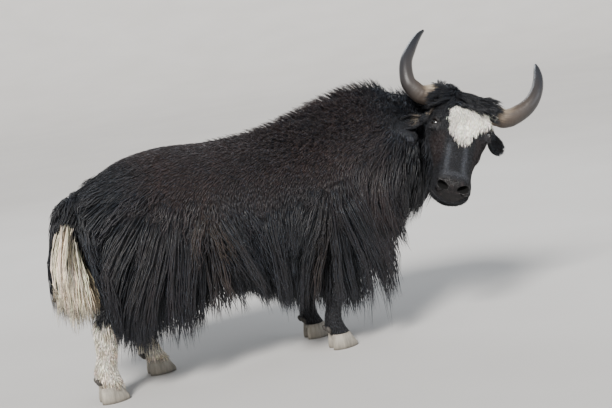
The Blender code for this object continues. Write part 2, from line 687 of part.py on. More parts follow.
def hem(x):
    return smooth(HEM, 1, min(max(x, HEM[0, 0]), HEM[-1, 0]))


def fan(x):
    """How far the hair is swept along X on its way down, for each metre that it hangs."""
    spread = FAN_SPREAD * (x - FAN_X) * math.exp(-((x - FAN_X) / FAN_REACH) ** 2)
    return spread - RUMP_SWEEP * min(max((RUMP_X - x) / 0.4, 0), 1)


def hanging(x, side, root_z, tip_z, layer=0.0, tuck=0.02, steps=5):
    """A line of hair: from inside the flank out through it, then down over it and clear of the legs."""
    path = [Vector((x, side * (torso_half_width(x, root_z) - 0.075), root_z + 0.030))]
    reach = 0.0
    for k in range(steps + 1):
        f = k / steps
        z = root_z + (tip_z - root_z) * f
        along = min(max(x + fan(x) * (root_z - z), REAR_X + 0.030), NECK_X)
        reach = max(reach, torso_half_width(along, max(z, DRAPE_TOP)))
        reach = max(reach, LEG_CLEARANCE * min(max((0.85 - z) / 0.25, 0), 1))
        out = min(f / 0.4, 1)
        y = reach - 0.035 * (1 - out) + layer * out * (2 - out) + 0.016 * math.sin(math.pi * f) - tuck * f * f
        path.append(Vector((along, side * y, z)))
    return path


def flank_locks():
    """Two overlapping rows of long locks down each flank, the upper over the lower."""
    made = []
    for side in (1, -1):
        for count, high, low, layer, width, start in FLANK_ROWS:
            for i, x in enumerate(np.linspace(start, FLANK_END, count)):
                rump = min(max((-0.90 - x) / 0.2, 0), 1)
                root = high + RUMP_RISE * rump * (low is not None) + random.uniform(-0.020, 0.020)
                tip = (hem(x) if low is None else max(low, hem(x) + 0.12)) + random.uniform(-0.020, 0.025)
                path = hanging(x, side, root, tip, layer + 0.017 * (i % 2), random.uniform(0.0, 0.02))
                shift = random.uniform(-0.020, 0.020)
                path = [p + Vector((shift * k / len(path), 0, 0)) for k, p in enumerate(path)]
                made.append(hair(path, width * random.uniform(0.95, 1.08), FLANK_LOCK, Vector((1, 0, 0))))
    return made


def chest_locks():
    """Locks under and in front of the chest, between the front legs and the neck."""
    made = []
    for x, y, root, tip, back in CHEST_LOCKS:
        for side in (1, -1):
            path = []
            for k in range(6):
                f = k / 5
                path.append(Vector((x - back * f * f + random.uniform(-0.004, 0.004),
                                    side * (y + 0.030 * math.sin(math.pi * f) * (y > 0.1)),
                                    root + (tip - root) * f + random.uniform(-0.01, 0.01))))
            made.append(hair(path, CHEST_WIDTH, CHEST_THICKNESS, Vector((0.35, side, 0)).normalized()))
    return made


def rear_locks():
    """Locks down the back of each thigh, beside the tail."""
    made = []
    for y, root, tip in REAR_LOCKS:
        for side in (1, -1):
            path = [Vector((REAR_LOCK_X + 0.053, side * (y - 0.01), root + 0.02))]
            path += [Vector((REAR_LOCK_X + 0.012 * f * f, side * (y + 0.02 * f), root + (tip - root) * f))
                     for f in (0.12, 0.4, 0.7, 1.0)]
            made.append(hair(path, REAR_WIDTH, REAR_THICKNESS, Vector((0, 1, 0))))
    return made


def crest_locks():
    """Short locks that lie back over the hump and the croup."""
    made = []
    for x, lift, side in CREST_LOCKS:
        path = []
        for f in (0.0, 0.3, 0.65, 1.0):
            along = x - CREST_LENGTH * f
            path.append(Vector((along, side * (0.025 + 0.035 * f), smooth(TORSO, 1, along) - 0.030
                                + (lift + 0.030) * math.sin(math.pi * 0.5 * min(f * 1.25, 1)))))
        made.append(hair(path, CREST_WIDTH, CREST_THICKNESS, Vector((0, 1, 0))))
    return made


def neck_lock(t, start, end, side, drift, lift, width, steps=4):
    """A lock that lies on the neck, from one angle round it down to another, swept back towards the torso."""
    path = []
    for k in range(steps + 1):
        f = k / steps
        angle = math.radians(start + (end - start) * f)
        if side < 0:
            angle = math.pi - angle
        rise = math.sin(math.pi * 0.5 * min(f * 1.4, 1))
        path.append(neck_point(t - drift * f, angle, -LOCK_DEPTH + (lift + LOCK_DEPTH) * rise))
    _, turn = neck_frame(t)
    return hair(path, width, NECK_THICKNESS, turn @ Vector((1, 0, 0)))


def neck_locks():
    made = []
    for side, places in NECK_LOCK_PLACES.items():
        for t in places:
            for further, start, end, drift, lift, width in NECK_TIERS:
                made.append(neck_lock(t + further, start, end, side, drift, lift, width))
    for t, spread, drop in THROAT_LOCKS:
        for side in (1, -1):
            _, turn = neck_frame(t)
            root = neck_point(t, math.radians(-90)) + turn @ Vector((0, side * spread, 0.04))
            path = [root + Vector((-0.035 * f * f, 0, -(drop + 0.04) * f)) for f in (0.0, 0.25, 0.5, 0.75, 1.0)]
            made.append(hair(path, THROAT_WIDTH, THROAT_THICKNESS, turn @ Vector((0.8, 0.6 * side, 0))))
    return made


def forehead_locks():
    """The tuft between the horns, lying forwards and down from the poll, in the head's axes."""
    made = []
    for angle, start, length, lift in FOREHEAD_LOCKS:
        path = []
        for f in (0.0, 0.25, 0.5, 0.75, 1.0):
            distance = start + length * f
            on = head_point(distance, math.radians(angle))
            middle = Vector((smooth(HEAD, 2, distance), 0, -distance))
            rise = math.sin(math.pi * 0.5 * min(f * 1.5, 1))
            path.append(on + (on - middle).normalized() * (-FOREHEAD_DEPTH + (lift + FOREHEAD_DEPTH) * rise))
        made.append(hair(path, FOREHEAD_WIDTH, FOREHEAD_THICKNESS, Vector((0, 1, 0))))
    return made


def tail_locks():
    made = []
    for count, high, low, reach, turn in TAIL_ROWS:
        for i in range(count):
            angle = math.tau * (i + turn) / count
            way = Vector((math.cos(angle), math.sin(angle), 0))
            top, foot = high + random.uniform(-0.03, 0.03), low + random.uniform(-0.03, 0.05)
            path = []
            for f in (0.0, 0.2, 0.45, 0.72, 1.0):
                z = top + (foot - top) * f
                middle = Vector([smooth(TAIL_LINE, column, -z) for column in (1, 2)] + [z])
                swell = math.sin(math.pi * min(0.12 + 0.62 * f, 0.62)) - 0.25 * f * f
                path.append(middle + way * reach * swell)
            made.append(hair(path, TAIL_WIDTH, TAIL_THICKNESS, Vector((-way.y, way.x, 0)), "coat_white"))
    return made


def tail_parts():
    path = spline(TAIL_DOCK, TAIL_STEPS)
    tail = tube("tail", [Vector(p[:3]) for p in path], [p[3] for p in path], TAIL_SIDES, "coat_white")
    combine(tail, tail_locks(), "UNION")
    return combine(tail, [half_space("rump_side", (TAIL_X, 0, 1), (1, 0, 0))], "DIFFERENCE")


def torso_parts():
    torso = torso_core()
    added = [limb_stub(foot) for foot in FEET]
    added += flank_locks() + chest_locks() + rear_locks() + crest_locks()
    combine(torso, added, "UNION")
    cutters = [half_space("neck_side", (NECK_X, 0, 1), (1, 0, 0)),
               half_space("tail_side", (TAIL_X, 0, 1), (-1, 0, 0))]
    return combine(torso, cutters, "DIFFERENCE")


def centre_on_floor():
    """Moves the whole model so that its box stands with its middle over the origin."""
    corners = [v.co for obj in bpy.data.objects for v in obj.data.vertices]
    low = Vector(min(c[i] for c in corners) for i in range(3))
    high = Vector(max(c[i] for c in corners) for i in range(3))
    shift = Vector((-(low.x + high.x) / 2, -(low.y + high.y) / 2, -low.z))
    for obj in bpy.data.objects:
        obj.data.transform(Matrix.Translation(shift))
    print("moved by", tuple(round(v, 6) for v in shift))


def main():
    for obj in list(bpy.data.objects):
        bpy.data.objects.remove(obj)
    random.seed(SEED)
    torso_parts()
    neck_parts()
    head_parts()
    tail_parts()
    for foot in FEET:
        leg(foot)
        hoof(foot)
    centre_on_floor()


main()
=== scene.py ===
"""The looks of a life-size yak: one skin, a coat of solid hairs, eyes, horns and hooves over the solids.

Metres, +Z up, +X the way the body faces, +Y its left side. The named sizes of the body are those of the CAD
source. They are in the frame that it is drawn in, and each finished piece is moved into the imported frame.
"""

import math
from collections import namedtuple

import bmesh
import bpy
import numpy as np
from mathutils import Matrix, Vector
from mathutils.bvhtree import BVHTree


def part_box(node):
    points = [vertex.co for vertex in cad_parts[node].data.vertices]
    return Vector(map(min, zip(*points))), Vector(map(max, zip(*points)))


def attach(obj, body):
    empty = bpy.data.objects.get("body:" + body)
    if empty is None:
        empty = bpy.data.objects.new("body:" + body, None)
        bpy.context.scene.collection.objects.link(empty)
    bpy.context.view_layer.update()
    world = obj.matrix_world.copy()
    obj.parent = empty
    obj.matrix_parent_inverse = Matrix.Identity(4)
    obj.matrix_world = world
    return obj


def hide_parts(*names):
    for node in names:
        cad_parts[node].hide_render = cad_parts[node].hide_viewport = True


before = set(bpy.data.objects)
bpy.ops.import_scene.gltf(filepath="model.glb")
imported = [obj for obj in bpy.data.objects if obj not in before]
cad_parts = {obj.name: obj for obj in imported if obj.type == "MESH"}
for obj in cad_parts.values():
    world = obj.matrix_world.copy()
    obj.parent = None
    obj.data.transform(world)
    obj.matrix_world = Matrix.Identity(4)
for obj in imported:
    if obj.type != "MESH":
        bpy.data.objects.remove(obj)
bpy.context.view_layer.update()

RNG = np.random.default_rng(11)
PIECE_LIMIT = 190000

# The torso's sections along X: place, crest height, height of the widest part, belly height and half width.
TORSO = np.array([
    (-1.3, 1.015, 0.9, 0.78, 0.1),
    (-1.24, 1.09, 0.88, 0.69, 0.19),
    (-1.13, 1.158, 0.86, 0.62, 0.262),
    (-0.98, 1.228, 0.85, 0.575, 0.305),
    (-0.8, 1.258, 0.85, 0.56, 0.325),
    (-0.5, 1.248, 0.83, 0.54, 0.365),
    (-0.2, 1.262, 0.82, 0.53, 0.372),
    (0.05, 1.312, 0.83, 0.54, 0.345),
    (0.22, 1.362, 0.85, 0.56, 0.33),
    (0.38, 1.398, 0.88, 0.6, 0.312),
    (0.5, 1.398, 0.91, 0.655, 0.275),
    (0.56, 1.388, 0.93, 0.7, 0.248),
])
REAR_X, NECK_X = TORSO[0, 0], TORSO[-1, 0]
CREST_POWER, FLANK_POWER = 1.25, 0.85

# The lowest reach of the hair along X, and the height where the long coat begins.
HEM = np.array([
    (-1.28, 0.47), (-1.15, 0.34), (-1.0, 0.245), (-0.8, 0.31), (-0.65, 0.36), (-0.44, 0.37),
    (-0.22, 0.325), (0.03, 0.25), (0.14, 0.235), (0.21, 0.26), (0.29, 0.32), (0.35, 0.38),
    (0.4, 0.49), (0.47, 0.59), (0.56, 0.68),
])
LONG_TOP = np.array([
    (-1.3, 1.06), (-1.0, 1.0), (-0.8, 0.92), (-0.6, 0.85), (-0.2, 0.83), (0.0, 0.84),
    (0.15, 0.9), (0.3, 0.99), (0.45, 1.06), (0.6, 1.1),
])
# How far the hanging hair is swept along X for each metre that it falls: partings at -0.64 and 0.03.
SWEEP = np.array([
    (-1.3, -0.05), (-1.2, -0.25), (-1.08, -0.55), (-0.95, -0.32), (-0.8, -0.1), (-0.68, -0.12),
    (-0.59, 0.36), (-0.45, 0.42), (-0.3, 0.05), (-0.18, -0.15), (-0.08, -0.46), (0.0, -0.42),
    (0.06, 0.1), (0.15, 0.32), (0.3, 0.3), (0.45, 0.2), (0.6, 0.05),
])

# The head's place and turn. Its own axes are +X out of the forehead, +Y to its left and +Z up to the poll.
HEAD_PLACE, HEAD_SIZE = Vector((0.915, -0.32, 1.241)), 1.035
HEAD_YAW, HEAD_PITCH, HEAD_ROLL = math.radians(-93.8), math.radians(-31.6), math.radians(-26.2)
# Sections down the head: distance from the poll, forehead line, widest line, jaw line and half width.
HEAD = np.array([
    (-0.07, -0.05, -0.085, -0.12, 0.065),
    (-0.04, 0.0, -0.085, -0.165, 0.112),
    (0.01, 0.04, -0.075, -0.205, 0.146),
    (0.07, 0.062, -0.07, -0.228, 0.162),
    (0.13, 0.068, -0.065, -0.242, 0.168),
    (0.185, 0.062, -0.065, -0.25, 0.162),
    (0.245, 0.05, -0.07, -0.245, 0.144),
    (0.315, 0.04, -0.07, -0.215, 0.121),
    (0.385, 0.034, -0.065, -0.18, 0.102),
    (0.445, 0.032, -0.06, -0.162, 0.098),
    (0.5, 0.022, -0.06, -0.156, 0.106),
    (0.54, -0.004, -0.065, -0.146, 0.102),
    (0.566, -0.032, -0.072, -0.124, 0.083),
    (0.582, -0.058, -0.08, -0.104, 0.052),
])
POLL, THROAT = Vector((-0.075, 0, 0.045)), Vector((-0.25, 0, -0.2))
EYE_PLACE, EYE_RADIUS, LID_THICKNESS = Vector((0.004, 0.136, -0.178)), 0.024, 0.007
EAR_ROOT, EAR_LENGTH, EAR_REACH = Vector((-0.105, 0.186, -0.102)), 0.125, 0.044
NOSTRIL, NOSTRIL_SIZE = (0.001, 0.056, -0.53), (0.031, 0.016, 0.04)
# Rounded forms on the head, as place and half sizes: on its middle line, and then on both sides.
MIDDLE_FORMS = {
    "lower_lip": ((-0.108, 0, -0.545), (0.027, 0.06, 0.034)),
    "upper_lip": ((-0.066, 0, -0.562), (0.026, 0.07, 0.026)),
    "chin": ((-0.128, 0, -0.52), (0.026, 0.046, 0.04)),
}
SIDE_FORMS = {
    "lids": (EYE_PLACE, (EYE_RADIUS + LID_THICKNESS,) * 3),
    "brow": ((0.024, 0.124, -0.14), (0.03, 0.036, 0.034)),
    "orbit": ((-0.004, 0.122, -0.2), (0.034, 0.026, 0.044)),
    "cheekbone": ((-0.034, 0.104, -0.262), (0.02, 0.03, 0.085)),
    "jowl": ((-0.14, 0.094, -0.17), (0.074, 0.046, 0.09)),
    "nose_edge": ((0.006, 0.05, -0.4), (0.024, 0.026, 0.11)),
    "nostril_rim": ((-0.014, 0.068, -0.528), (0.028, 0.028, 0.032)),
    "lip_pad": ((-0.07, 0.052, -0.54), (0.03, 0.044, 0.036)),
}
# Folds round the eye: the angles where each starts and ends, how far out, high and long it is, its radius.
LID_FOLDS = [
    (15, 165, 0.0275, 0.0225, 0.03, 0.0058), (20, 160, 0.024, 0.033, 0.037, 0.006),
    (200, 340, 0.025, 0.0215, 0.029, 0.005), (210, 335, 0.0215, 0.031, 0.035, 0.0048),
]
EYE_SLIT = (0.026, 0.0165)
# The mouth from its corner to the middle of the front.
MOUTH = [(-0.088, 0.097, -0.44), (-0.074, 0.104, -0.48), (-0.06, 0.104, -0.515), (-0.049, 0.094, -0.546),
         (-0.05, 0.052, -0.576), (-0.053, 0.0, -0.585)]
# The ear's sections: distance from its root, radius and wall.
EAR = np.array([(-0.05, 0.026, 0.014), (0.0, 0.026, 0.013), (0.02, 0.03, 0.011), (0.045, 0.038, 0.01),
                (0.075, 0.041, 0.009), (0.105, 0.034, 0.008), (0.126, 0.018, 0.007)])
# The blaze's outline on the forehead: distance from the head's middle line, and distance down from the poll.
BLAZE = np.array([
    (-0.092, 0.08), (-0.03, 0.074), (0.02, 0.066), (0.07, 0.056), (0.12, 0.052), (0.165, 0.046),
    (0.172, 0.085), (0.142, 0.136), (0.122, 0.152), (0.104, 0.176), (0.092, 0.172), (0.078, 0.213),
    (0.06, 0.208), (0.044, 0.268), (0.015, 0.268), (-0.006, 0.286), (-0.03, 0.257), (-0.053, 0.237),
    (-0.078, 0.204), (-0.072, 0.158), (-0.096, 0.142), (-0.074, 0.12),
])

HORN_PATHS = {
    1: [(-0.03, 0.172, -0.015), (-0.03, 0.246, -0.017), (-0.015, 0.317, 0.037), (0.0, 0.362, 0.1),
        (0.005, 0.385, 0.18), (0.0, 0.389, 0.26), (-0.015, 0.381, 0.33), (-0.03, 0.374, 0.375)],
    -1: [(-0.03, 0.172, 0.02), (-0.03, 0.23, 0.0), (-0.015, 0.28, 0.012), (0.0, 0.325, 0.047),
         (0.005, 0.35, 0.149), (0.0, 0.335, 0.252), (-0.015, 0.308, 0.35), (-0.03, 0.28, 0.41)],
}
HORN_RADII = [0.055, 0.051, 0.046, 0.04, 0.034, 0.028, 0.019, 0.008]

# Limbs from top to sole: forward place, distance from the middle, height, half length and half width.
FORE = np.array([
    (0.18, 0.19, 0.9, 0.15, 0.11),
    (0.15, 0.2, 0.7, 0.11, 0.085),
    (0.1, 0.19, 0.5, 0.078, 0.068),
    (0.07, 0.18, 0.38, 0.062, 0.06),
    (0.06, 0.178, 0.33, 0.064, 0.062),
    (0.035, 0.176, 0.24, 0.047, 0.047),
    (0.02, 0.175, 0.165, 0.05, 0.052),
    (0.024, 0.175, 0.13, 0.056, 0.056),
    (0.048, 0.175, 0.085, 0.056, 0.056),
])
HIND = np.array([
    (0.3, 0.17, 0.9, 0.2, 0.12),
    (0.18, 0.19, 0.68, 0.15, 0.098),
    (0.04, 0.19, 0.5, 0.095, 0.075),
    (-0.03, 0.184, 0.41, 0.078, 0.062),
    (-0.03, 0.18, 0.34, 0.062, 0.056),
    (-0.015, 0.178, 0.24, 0.052, 0.052),
    (-0.012, 0.176, 0.165, 0.058, 0.056),
    (0.004, 0.176, 0.125, 0.062, 0.06),
    (0.034, 0.176, 0.085, 0.058, 0.058),
])
# The foot is set on below the cut, and the short hair of the leg ends at its top.
LEG_CUT, LEG_TOP = 0.5, 0.49
HOOF_HEIGHT, HOOF_LENGTH, CLAW_WIDTH, CLAW_GAP = 0.085, 0.15, 0.06, 0.008
# Each foot: side, limb, how far the limb is set along X, and how far the foot is set on from there.
FEET = {
    "front_right": (-1, FORE, 0.0, 0.0),
    "front_left": (1, FORE, -0.016, 0.0),
    "hind_right": (-1, HIND, -1.16, -0.14),
    "hind_left": (1, HIND, -0.945, 0.0),
}
# The tail: where it starts, how far from its dock its skin reaches, how far back its hair may hang, and the
# dock's places and radii.
TAIL_FRONT, TAIL_WIDE, TAIL_REACH = -1.262, 0.075, -1.425
TAIL_DOCK = [(-1.2, 0.0, 1.06, 0.055), (-1.285, 0.0, 1.01, 0.055), (-1.322, -0.02, 0.92, 0.05),
             (-1.342, -0.045, 0.8, 0.04), (-1.348, -0.055, 0.68, 0.03), (-1.345, -0.06, 0.56, 0.018)]
# The neck's sections from the torso to the head: half width, height above its line and depth below it.
NECK = np.array([
    (0.0, 0.248, 0.422, 0.23),
    (0.3, 0.215, 0.34, 0.235),
    (0.6, 0.18, 0.265, 0.225),
    (0.85, 0.155, 0.21, 0.205),
    (1.0, 0.145, 0.185, 0.19),
])

# Colours of the hair and the bare skin.
BLACK_HAIR, RUST_HAIR, BROWN_HAIR = (0.0072, 0.0072, 0.009), (0.019, 0.0095, 0.0078), (0.08, 0.05, 0.03)
WHITE_HAIR, BLAZE_HAIR, STAINED_HAIR = (0.74, 0.66, 0.51), (0.9, 0.87, 0.78), (0.46, 0.32, 0.17)
# The grey hair colour is painted sheen: the grey-blue light on the black hair of the face.
PAINTED_SHEEN_GREY, LID_SKIN, HORN_FUZZ = (0.05, 0.054, 0.064), (0.019, 0.017, 0.018), (0.4, 0.33, 0.25)
PAD_DARK, PAD_SKIN, PAD_PINK = (0.005, 0.0045, 0.005), (0.008, 0.007, 0.0075), (0.028, 0.021, 0.021)
# The hollow colour is painted shade deep in the nostrils.
# The skin's shade darkens the skin's markings as painted shade under the coat.
PAINTED_HOLLOW_SHADE, SKIN_PAINTED_SHADE = (0.001, 0.0008, 0.0008), 0.75
IRIS_DARK, IRIS_BROWN, EYE_WHITE = (0.003, 0.002, 0.0015), (0.01, 0.005, 0.003), (0.01, 0.0075, 0.007)

# The studio: its floor, its sky, its lights with their places, sizes, powers and colours, and the camera.
FLOOR_RADIUS, BACKDROP_RADIUS, FLOOR_DARK, FLOOR_PALE = 24.0, 30.0, (0.5, 0.49, 0.475), (0.53, 0.52, 0.505)
SKY_COLOUR, SKY_STRENGTH, LIT_PLACE = (0.9, 0.94, 1.0), 0.5, Vector((0, 0, 0.8))
LIGHTS = [
    ("key", "SUN", (-4.2, -5.6, 6.4), 0.28, 6.2, (1.0, 0.97, 0.93)),
    ("fill", "AREA", (5.5, -5.0, 3.5), 4.0, 170.0, (0.86, 0.92, 1.0)),
    ("rim", "AREA", (1.5, 6.5, 6.0), 4.0, 240.0, (0.9, 0.95, 1.0)),
]
CAMERA_ANGLES, CAMERA_TARGET, CAMERA_DISTANCE = (-20, 8, 8), Vector((0.02, 0, 0.8)), 7.0
SENSOR_WIDTH, LENS = 36.0, 73.59

# Each coat: guides to a square metre, steps in a guide, how far it keeps its way, hairs to a guide, their
# spread and curl, each hair's width, how deep it is for its width, and how bright it is at its root, which
# is painted shade where the hairs crowd at the skin.
Coat = namedtuple("Coat", "density steps stiffness hairs spread curl width depth root_shade")
COATS = {
    "coat_long": Coat(560, 5, 0.55, 16, 0.038, 0.014, 0.0062, 0.28, 0.4),
    "coat_short": Coat(11000, 2, 0.5, 1, 0.0, 0.0, 0.0058, 0.22, 0.6),
    "coat_mane": Coat(3300, 3, 0.84, 4, 0.014, 0.001, 0.0036, 0.3, 0.6),
    "coat_neck": Coat(620, 4, 0.55, 13, 0.032, 0.004, 0.006, 0.28, 0.4),
    "coat_head": Coat(34000, 2, 0.5, 1, 0.0, 0.0, 0.0034, 0.18, 0.9),
    "coat_forelock": Coat(2600, 4, 0.35, 14, 0.018, 0.0012, 0.0038, 0.28, 0.4),
    "coat_legs": Coat(15000, 2, 0.55, 1, 0.0, 0.0, 0.0044, 0.22, 0.85),
    "coat_tail": Coat(2100, 5, 0.62, 20, 0.036, 0.008, 0.006, 0.28, 0.7),
}
# Along a hair from root to tip: its share of the full width, and its brightness after the one at its root.
# The dark root is painted shade among the hairs, and the paler tips are sun-bleached.
TAPER_AT, TAPER = (0, 0.25, 0.6, 1.0), (0.8, 1.0, 0.85, 0.25)
SHADE_AT, TIP_SHADES = (0, 0.3, 0.8, 1.0), (1.05, 1.15)
# For the strands drawn on a hair: noise to a metre across it and along it, and how far hairs lie apart in it.
STRAND_SCALES = (1000, 30, 900)
ROOT_DEPTH, BAKE_PATCH, FORE_END, TUCK_BELOW = 0.002, 0.003, -0.45, 0.62


def smooth(table, column, place):
    """A column of a table of sections at places between them, on a smooth curve through its values."""
    xs, ys = table[:, 0], table[:, column]
    slopes = np.gradient(ys, xs)
    i = np.clip(np.searchsorted(xs, place) - 1, 0, len(xs) - 2)
    step = xs[i + 1] - xs[i]
    t = (place - xs[i]) / step
    return ((1 + 2 * t) * (1 - t) ** 2 * ys[i] + t * (1 - t) ** 2 * step * slopes[i]
            + t * t * (3 - 2 * t) * ys[i + 1] + t * t * (t - 1) * step * slopes[i + 1])


def ramp(value, low, high):
    """From 0 at low to 1 at high, with soft ends."""
    t = np.clip((value - low) / (high - low), 0, 1)
    return t * t * (3 - 2 * t)


def mix(first, second, share):
    """The first where the share is 0, the second where it is 1, and between them in between."""
    return np.asarray(first) * (1 - share) + np.asarray(second) * share


def unit(vectors):
    """The vectors at a length of one."""
    return vectors / np.maximum(np.linalg.norm(vectors, axis=-1, keepdims=True), 1e-9)


def signed_power(value, power):
    """A power that keeps the value's sign, to square off or narrow a round section."""
    return math.copysign(abs(value) ** power, value)


def circle(sides):
    """Cosine and sine at even steps round a circle."""
    return [(math.cos(math.tau * i / sides), math.sin(math.tau * i / sides)) for i in range(sides)]


# Meshes and their joining


def object_from(name, builder):
    """A mesh object from a bmesh, with its faces turned outwards and shaded smooth."""
    bmesh.ops.recalc_face_normals(builder, faces=builder.faces)
    mesh = bpy.data.meshes.new(name)
    builder.to_mesh(mesh)
    builder.free()
    mesh.shade_smooth()
    made = bpy.data.objects.new(name, mesh)
    bpy.context.scene.collection.objects.link(made)
    return made


def loft(name, rings, tip=None):
    """A closed solid through rings of equal counts, with flat ends or a point beyond the last ring."""
    builder = bmesh.new()
    rows = [[builder.verts.new(p) for p in ring] for ring in rings]
    count = len(rows[0])
    for lower, upper in zip(rows, rows[1:]):
        for i in range(count):
            j = (i + 1) % count
            builder.faces.new((lower[i], lower[j], upper[j], upper[i]))
    ends = [builder.faces.new(rows[0][::-1])]
    if tip is None:
        ends.append(builder.faces.new(rows[-1]))
    else:
        point = builder.verts.new(tip)
        for i in range(count):
            builder.faces.new((rows[-1][i], rows[-1][(i + 1) % count], point))
    bmesh.ops.triangulate(builder, faces=ends)
    return object_from(name, builder)


def applied(obj):
    """The object with its modifiers made into its mesh."""
    graph = bpy.context.evaluated_depsgraph_get()
    mesh = bpy.data.meshes.new_from_object(obj.evaluated_get(graph))
    obj.modifiers.clear()
    obj.data = mesh
    return obj


def combine(obj, others, operation):
    """One Boolean of the object with a collection of closed solids, which are then removed."""
    group = bpy.data.collections.new("pieces")
    bpy.context.scene.collection.children.link(group)
    for other in others:
        group.objects.link(other)
    change = obj.modifiers.new(operation.lower(), "BOOLEAN")
    change.operation = operation
    change.operand_type = "COLLECTION"
    change.collection = group
    change.solver = "MANIFOLD"
    applied(obj)
    for other in others:
        bpy.data.objects.remove(other)
    bpy.data.collections.remove(group)
    return obj


def joined(name, objects):
    """One object with the meshes of several."""
    builder = bmesh.new()
    for obj in objects:
        builder.from_mesh(obj.data)
        bpy.data.objects.remove(obj)
    return object_from(name, builder)


def remeshed(obj, voxel, rounds):
    """One closed surface of even small faces over the object's overlapping parts, then smoothed."""
    change = obj.modifiers.new("voxels", "REMESH")
    change.mode, change.voxel_size, change.use_smooth_shade = "VOXEL", voxel, True
    relax = obj.modifiers.new("relax", "SMOOTH")
    relax.factor, relax.iterations = 0.5, rounds
    return applied(obj)


def vectors_of(items, field):
    """A field of three numbers for each item, as rows of an array."""
    flat = np.empty(len(items) * 3, np.float32)
    items.foreach_get(field, flat)
    return flat.reshape(-1, 3).astype(float)


def positions(mesh):
    return vectors_of(mesh.vertices, "co")


def vertex_normals(mesh):
    return vectors_of(mesh.vertex_normals, "vector")


def set_positions(mesh, places):
    mesh.vertices.foreach_set("co", places.astype(np.float32).ravel())
    mesh.update()


def set_attribute(mesh, name, values):
    """Stores one number, vector or colour for each vertex."""
    values = np.asarray(values, np.float32)
    if values.ndim == 1:
        kind, field = "FLOAT", "value"
    elif name == "tone":
        kind, field = "FLOAT_COLOR", "color"
        values = np.concatenate([values, np.ones((len(values), 1), np.float32)], axis=1)
    else:
        kind, field = "FLOAT_VECTOR", "vector"
    mesh.attributes.new(name, kind, "POINT").data.foreach_set(field, values.ravel())


# The body


def torso_ring(x, sides):
    """The torso's section at X: a narrow crest above a broad, deep flank."""
    top, middle, bottom, half = (smooth(TORSO, column, x) for column in range(1, 5))
    return [(x, half * signed_power(c, CREST_POWER if s >= 0 else FLANK_POWER),
             middle + (top - middle if s >= 0 else middle - bottom) * s) for c, s in circle(sides)]


def limb_ring(foot, z, sides):
    """A level section of a limb at a height."""
    side, limb, shift, set_on = FEET[foot]
    shift += set_on * max(LEG_CUT - z, 0) / LEG_CUT
    by_height = limb[::-1][:, [2, 0, 1, 3, 4]]
    x, y, length, width = (smooth(by_height, column, z) for column in range(1, 5))
    return [(x + shift + length * c, side * y + width * s, z) for c, s in circle(sides)]


def bezier(points, t):
    a, b, c, d = (Vector(p) for p in points)
    return a * (1 - t) ** 3 + b * 3 * t * (1 - t) ** 2 + c * 3 * t * t * (1 - t) + d * t ** 3


def spline(points, count):
    """Points on a smooth curve through the given ones, with any further columns carried along."""
    table = np.array([(i, *point) for i, point in enumerate(points)], float)
    places = np.linspace(0, len(points) - 1, count)
    return [[float(smooth(table, column, place)) for column in range(1, table.shape[1])] for place in places]


def tube(name, path, radii, sides):
    """A round solid along a path, each ring square to it."""
    rings = []
    across = Vector((0.31, 0.17, 0.94))
    for i, point in enumerate(path):
        along = (Vector(path[min(i + 1, len(path) - 1)]) - Vector(path[max(i - 1, 0)])).normalized()
        first = along.cross(across).normalized()
        second = along.cross(first)
        rings.append([Vector(point) + (first * c + second * s) * radii[i] for c, s in circle(sides)])
    return loft(name, rings)


def head_matrix():
    """From the head's own axes to the body's."""
    turn = (Matrix.Rotation(HEAD_YAW, 4, "Z") @ Matrix.Rotation(HEAD_PITCH, 4, "Y")
            @ Matrix.Rotation(HEAD_ROLL, 4, "X"))
    return Matrix.Translation(HEAD_PLACE) @ turn @ Matrix.Scale(HEAD_SIZE, 4)


def head_plane():
    """The middle of the plane between neck and head, its way towards the nose, and its way up."""
    up = (POLL - THROAT).normalized()
    return (POLL + THROAT) / 2, Vector((0, 1, 0)).cross(up), up


def neck_frame(t):
    """The neck's middle and its turn at t, from 0 at the torso to 1 at the head."""
    matrix = head_matrix()
    middle, way, up = head_plane()
    turn = matrix.to_quaternion()
    end, way, up, left = matrix @ middle, turn @ way, turn @ up, turn @ Vector((0, 1, 0))
    start = Vector((NECK_X, 0, float(smooth(TORSO, 2, NECK_X))))
    place = bezier((start, start + Vector((0.22, 0, 0.02)), end - way * 0.14, end), t)
    last = Matrix((way, left, up)).transposed().to_quaternion()
    blend = min(max(t, 0), 1)
    blend = blend * blend * (3 - 2 * blend)
    return place, Matrix().to_quaternion().slerp(last, blend)


def neck_point(t, angle):
    """A point on the neck at an angle from its left side up over its crest."""
    place, turn = neck_frame(t)
    half, above, below = (float(smooth(NECK, column, min(max(t, 0), 1))) for column in range(1, 4))
    c, s = math.cos(angle), math.sin(angle)
    power = CREST_POWER if s >= 0 else FLANK_POWER
    return place + turn @ Vector((0, half * signed_power(c, power), (above if s >= 0 else below) * s))


def body_skin():
    """Torso, neck, limbs and dock of the tail as one surface, drawn in by the depth of the coat."""
    angles = [math.tau * i / 40 for i in range(40)]
    parts = [loft("torso", [torso_ring(x, 48) for x in np.linspace(REAR_X, NECK_X + 0.02, 44)]),
             loft("neck", [[neck_point(t, angle) for angle in angles] for t in np.linspace(-0.04, 1.0, 26)])]
    levels = np.linspace(0.8, HOOF_HEIGHT - 0.006, 48)
    parts += [loft("limb", [limb_ring(foot, z, 28) for z in levels]) for foot in FEET]
    path = spline(TAIL_DOCK, 24)
    parts.append(tube("dock", [Vector(p[:3]) for p in path], [p[3] for p in path], 20))
    body = remeshed(joined("skin", parts), 0.008, 8)
    places, normals = positions(body.data), vertex_normals(body.data)
    depth = 0.016 - 0.012 * ramp(-places[:, 2], -0.55, -0.42) - 0.011 * ramp(places[:, 0], 0.7, 0.95)
    set_positions(body.data, places - normals * depth[:, None])
    return body


# The head


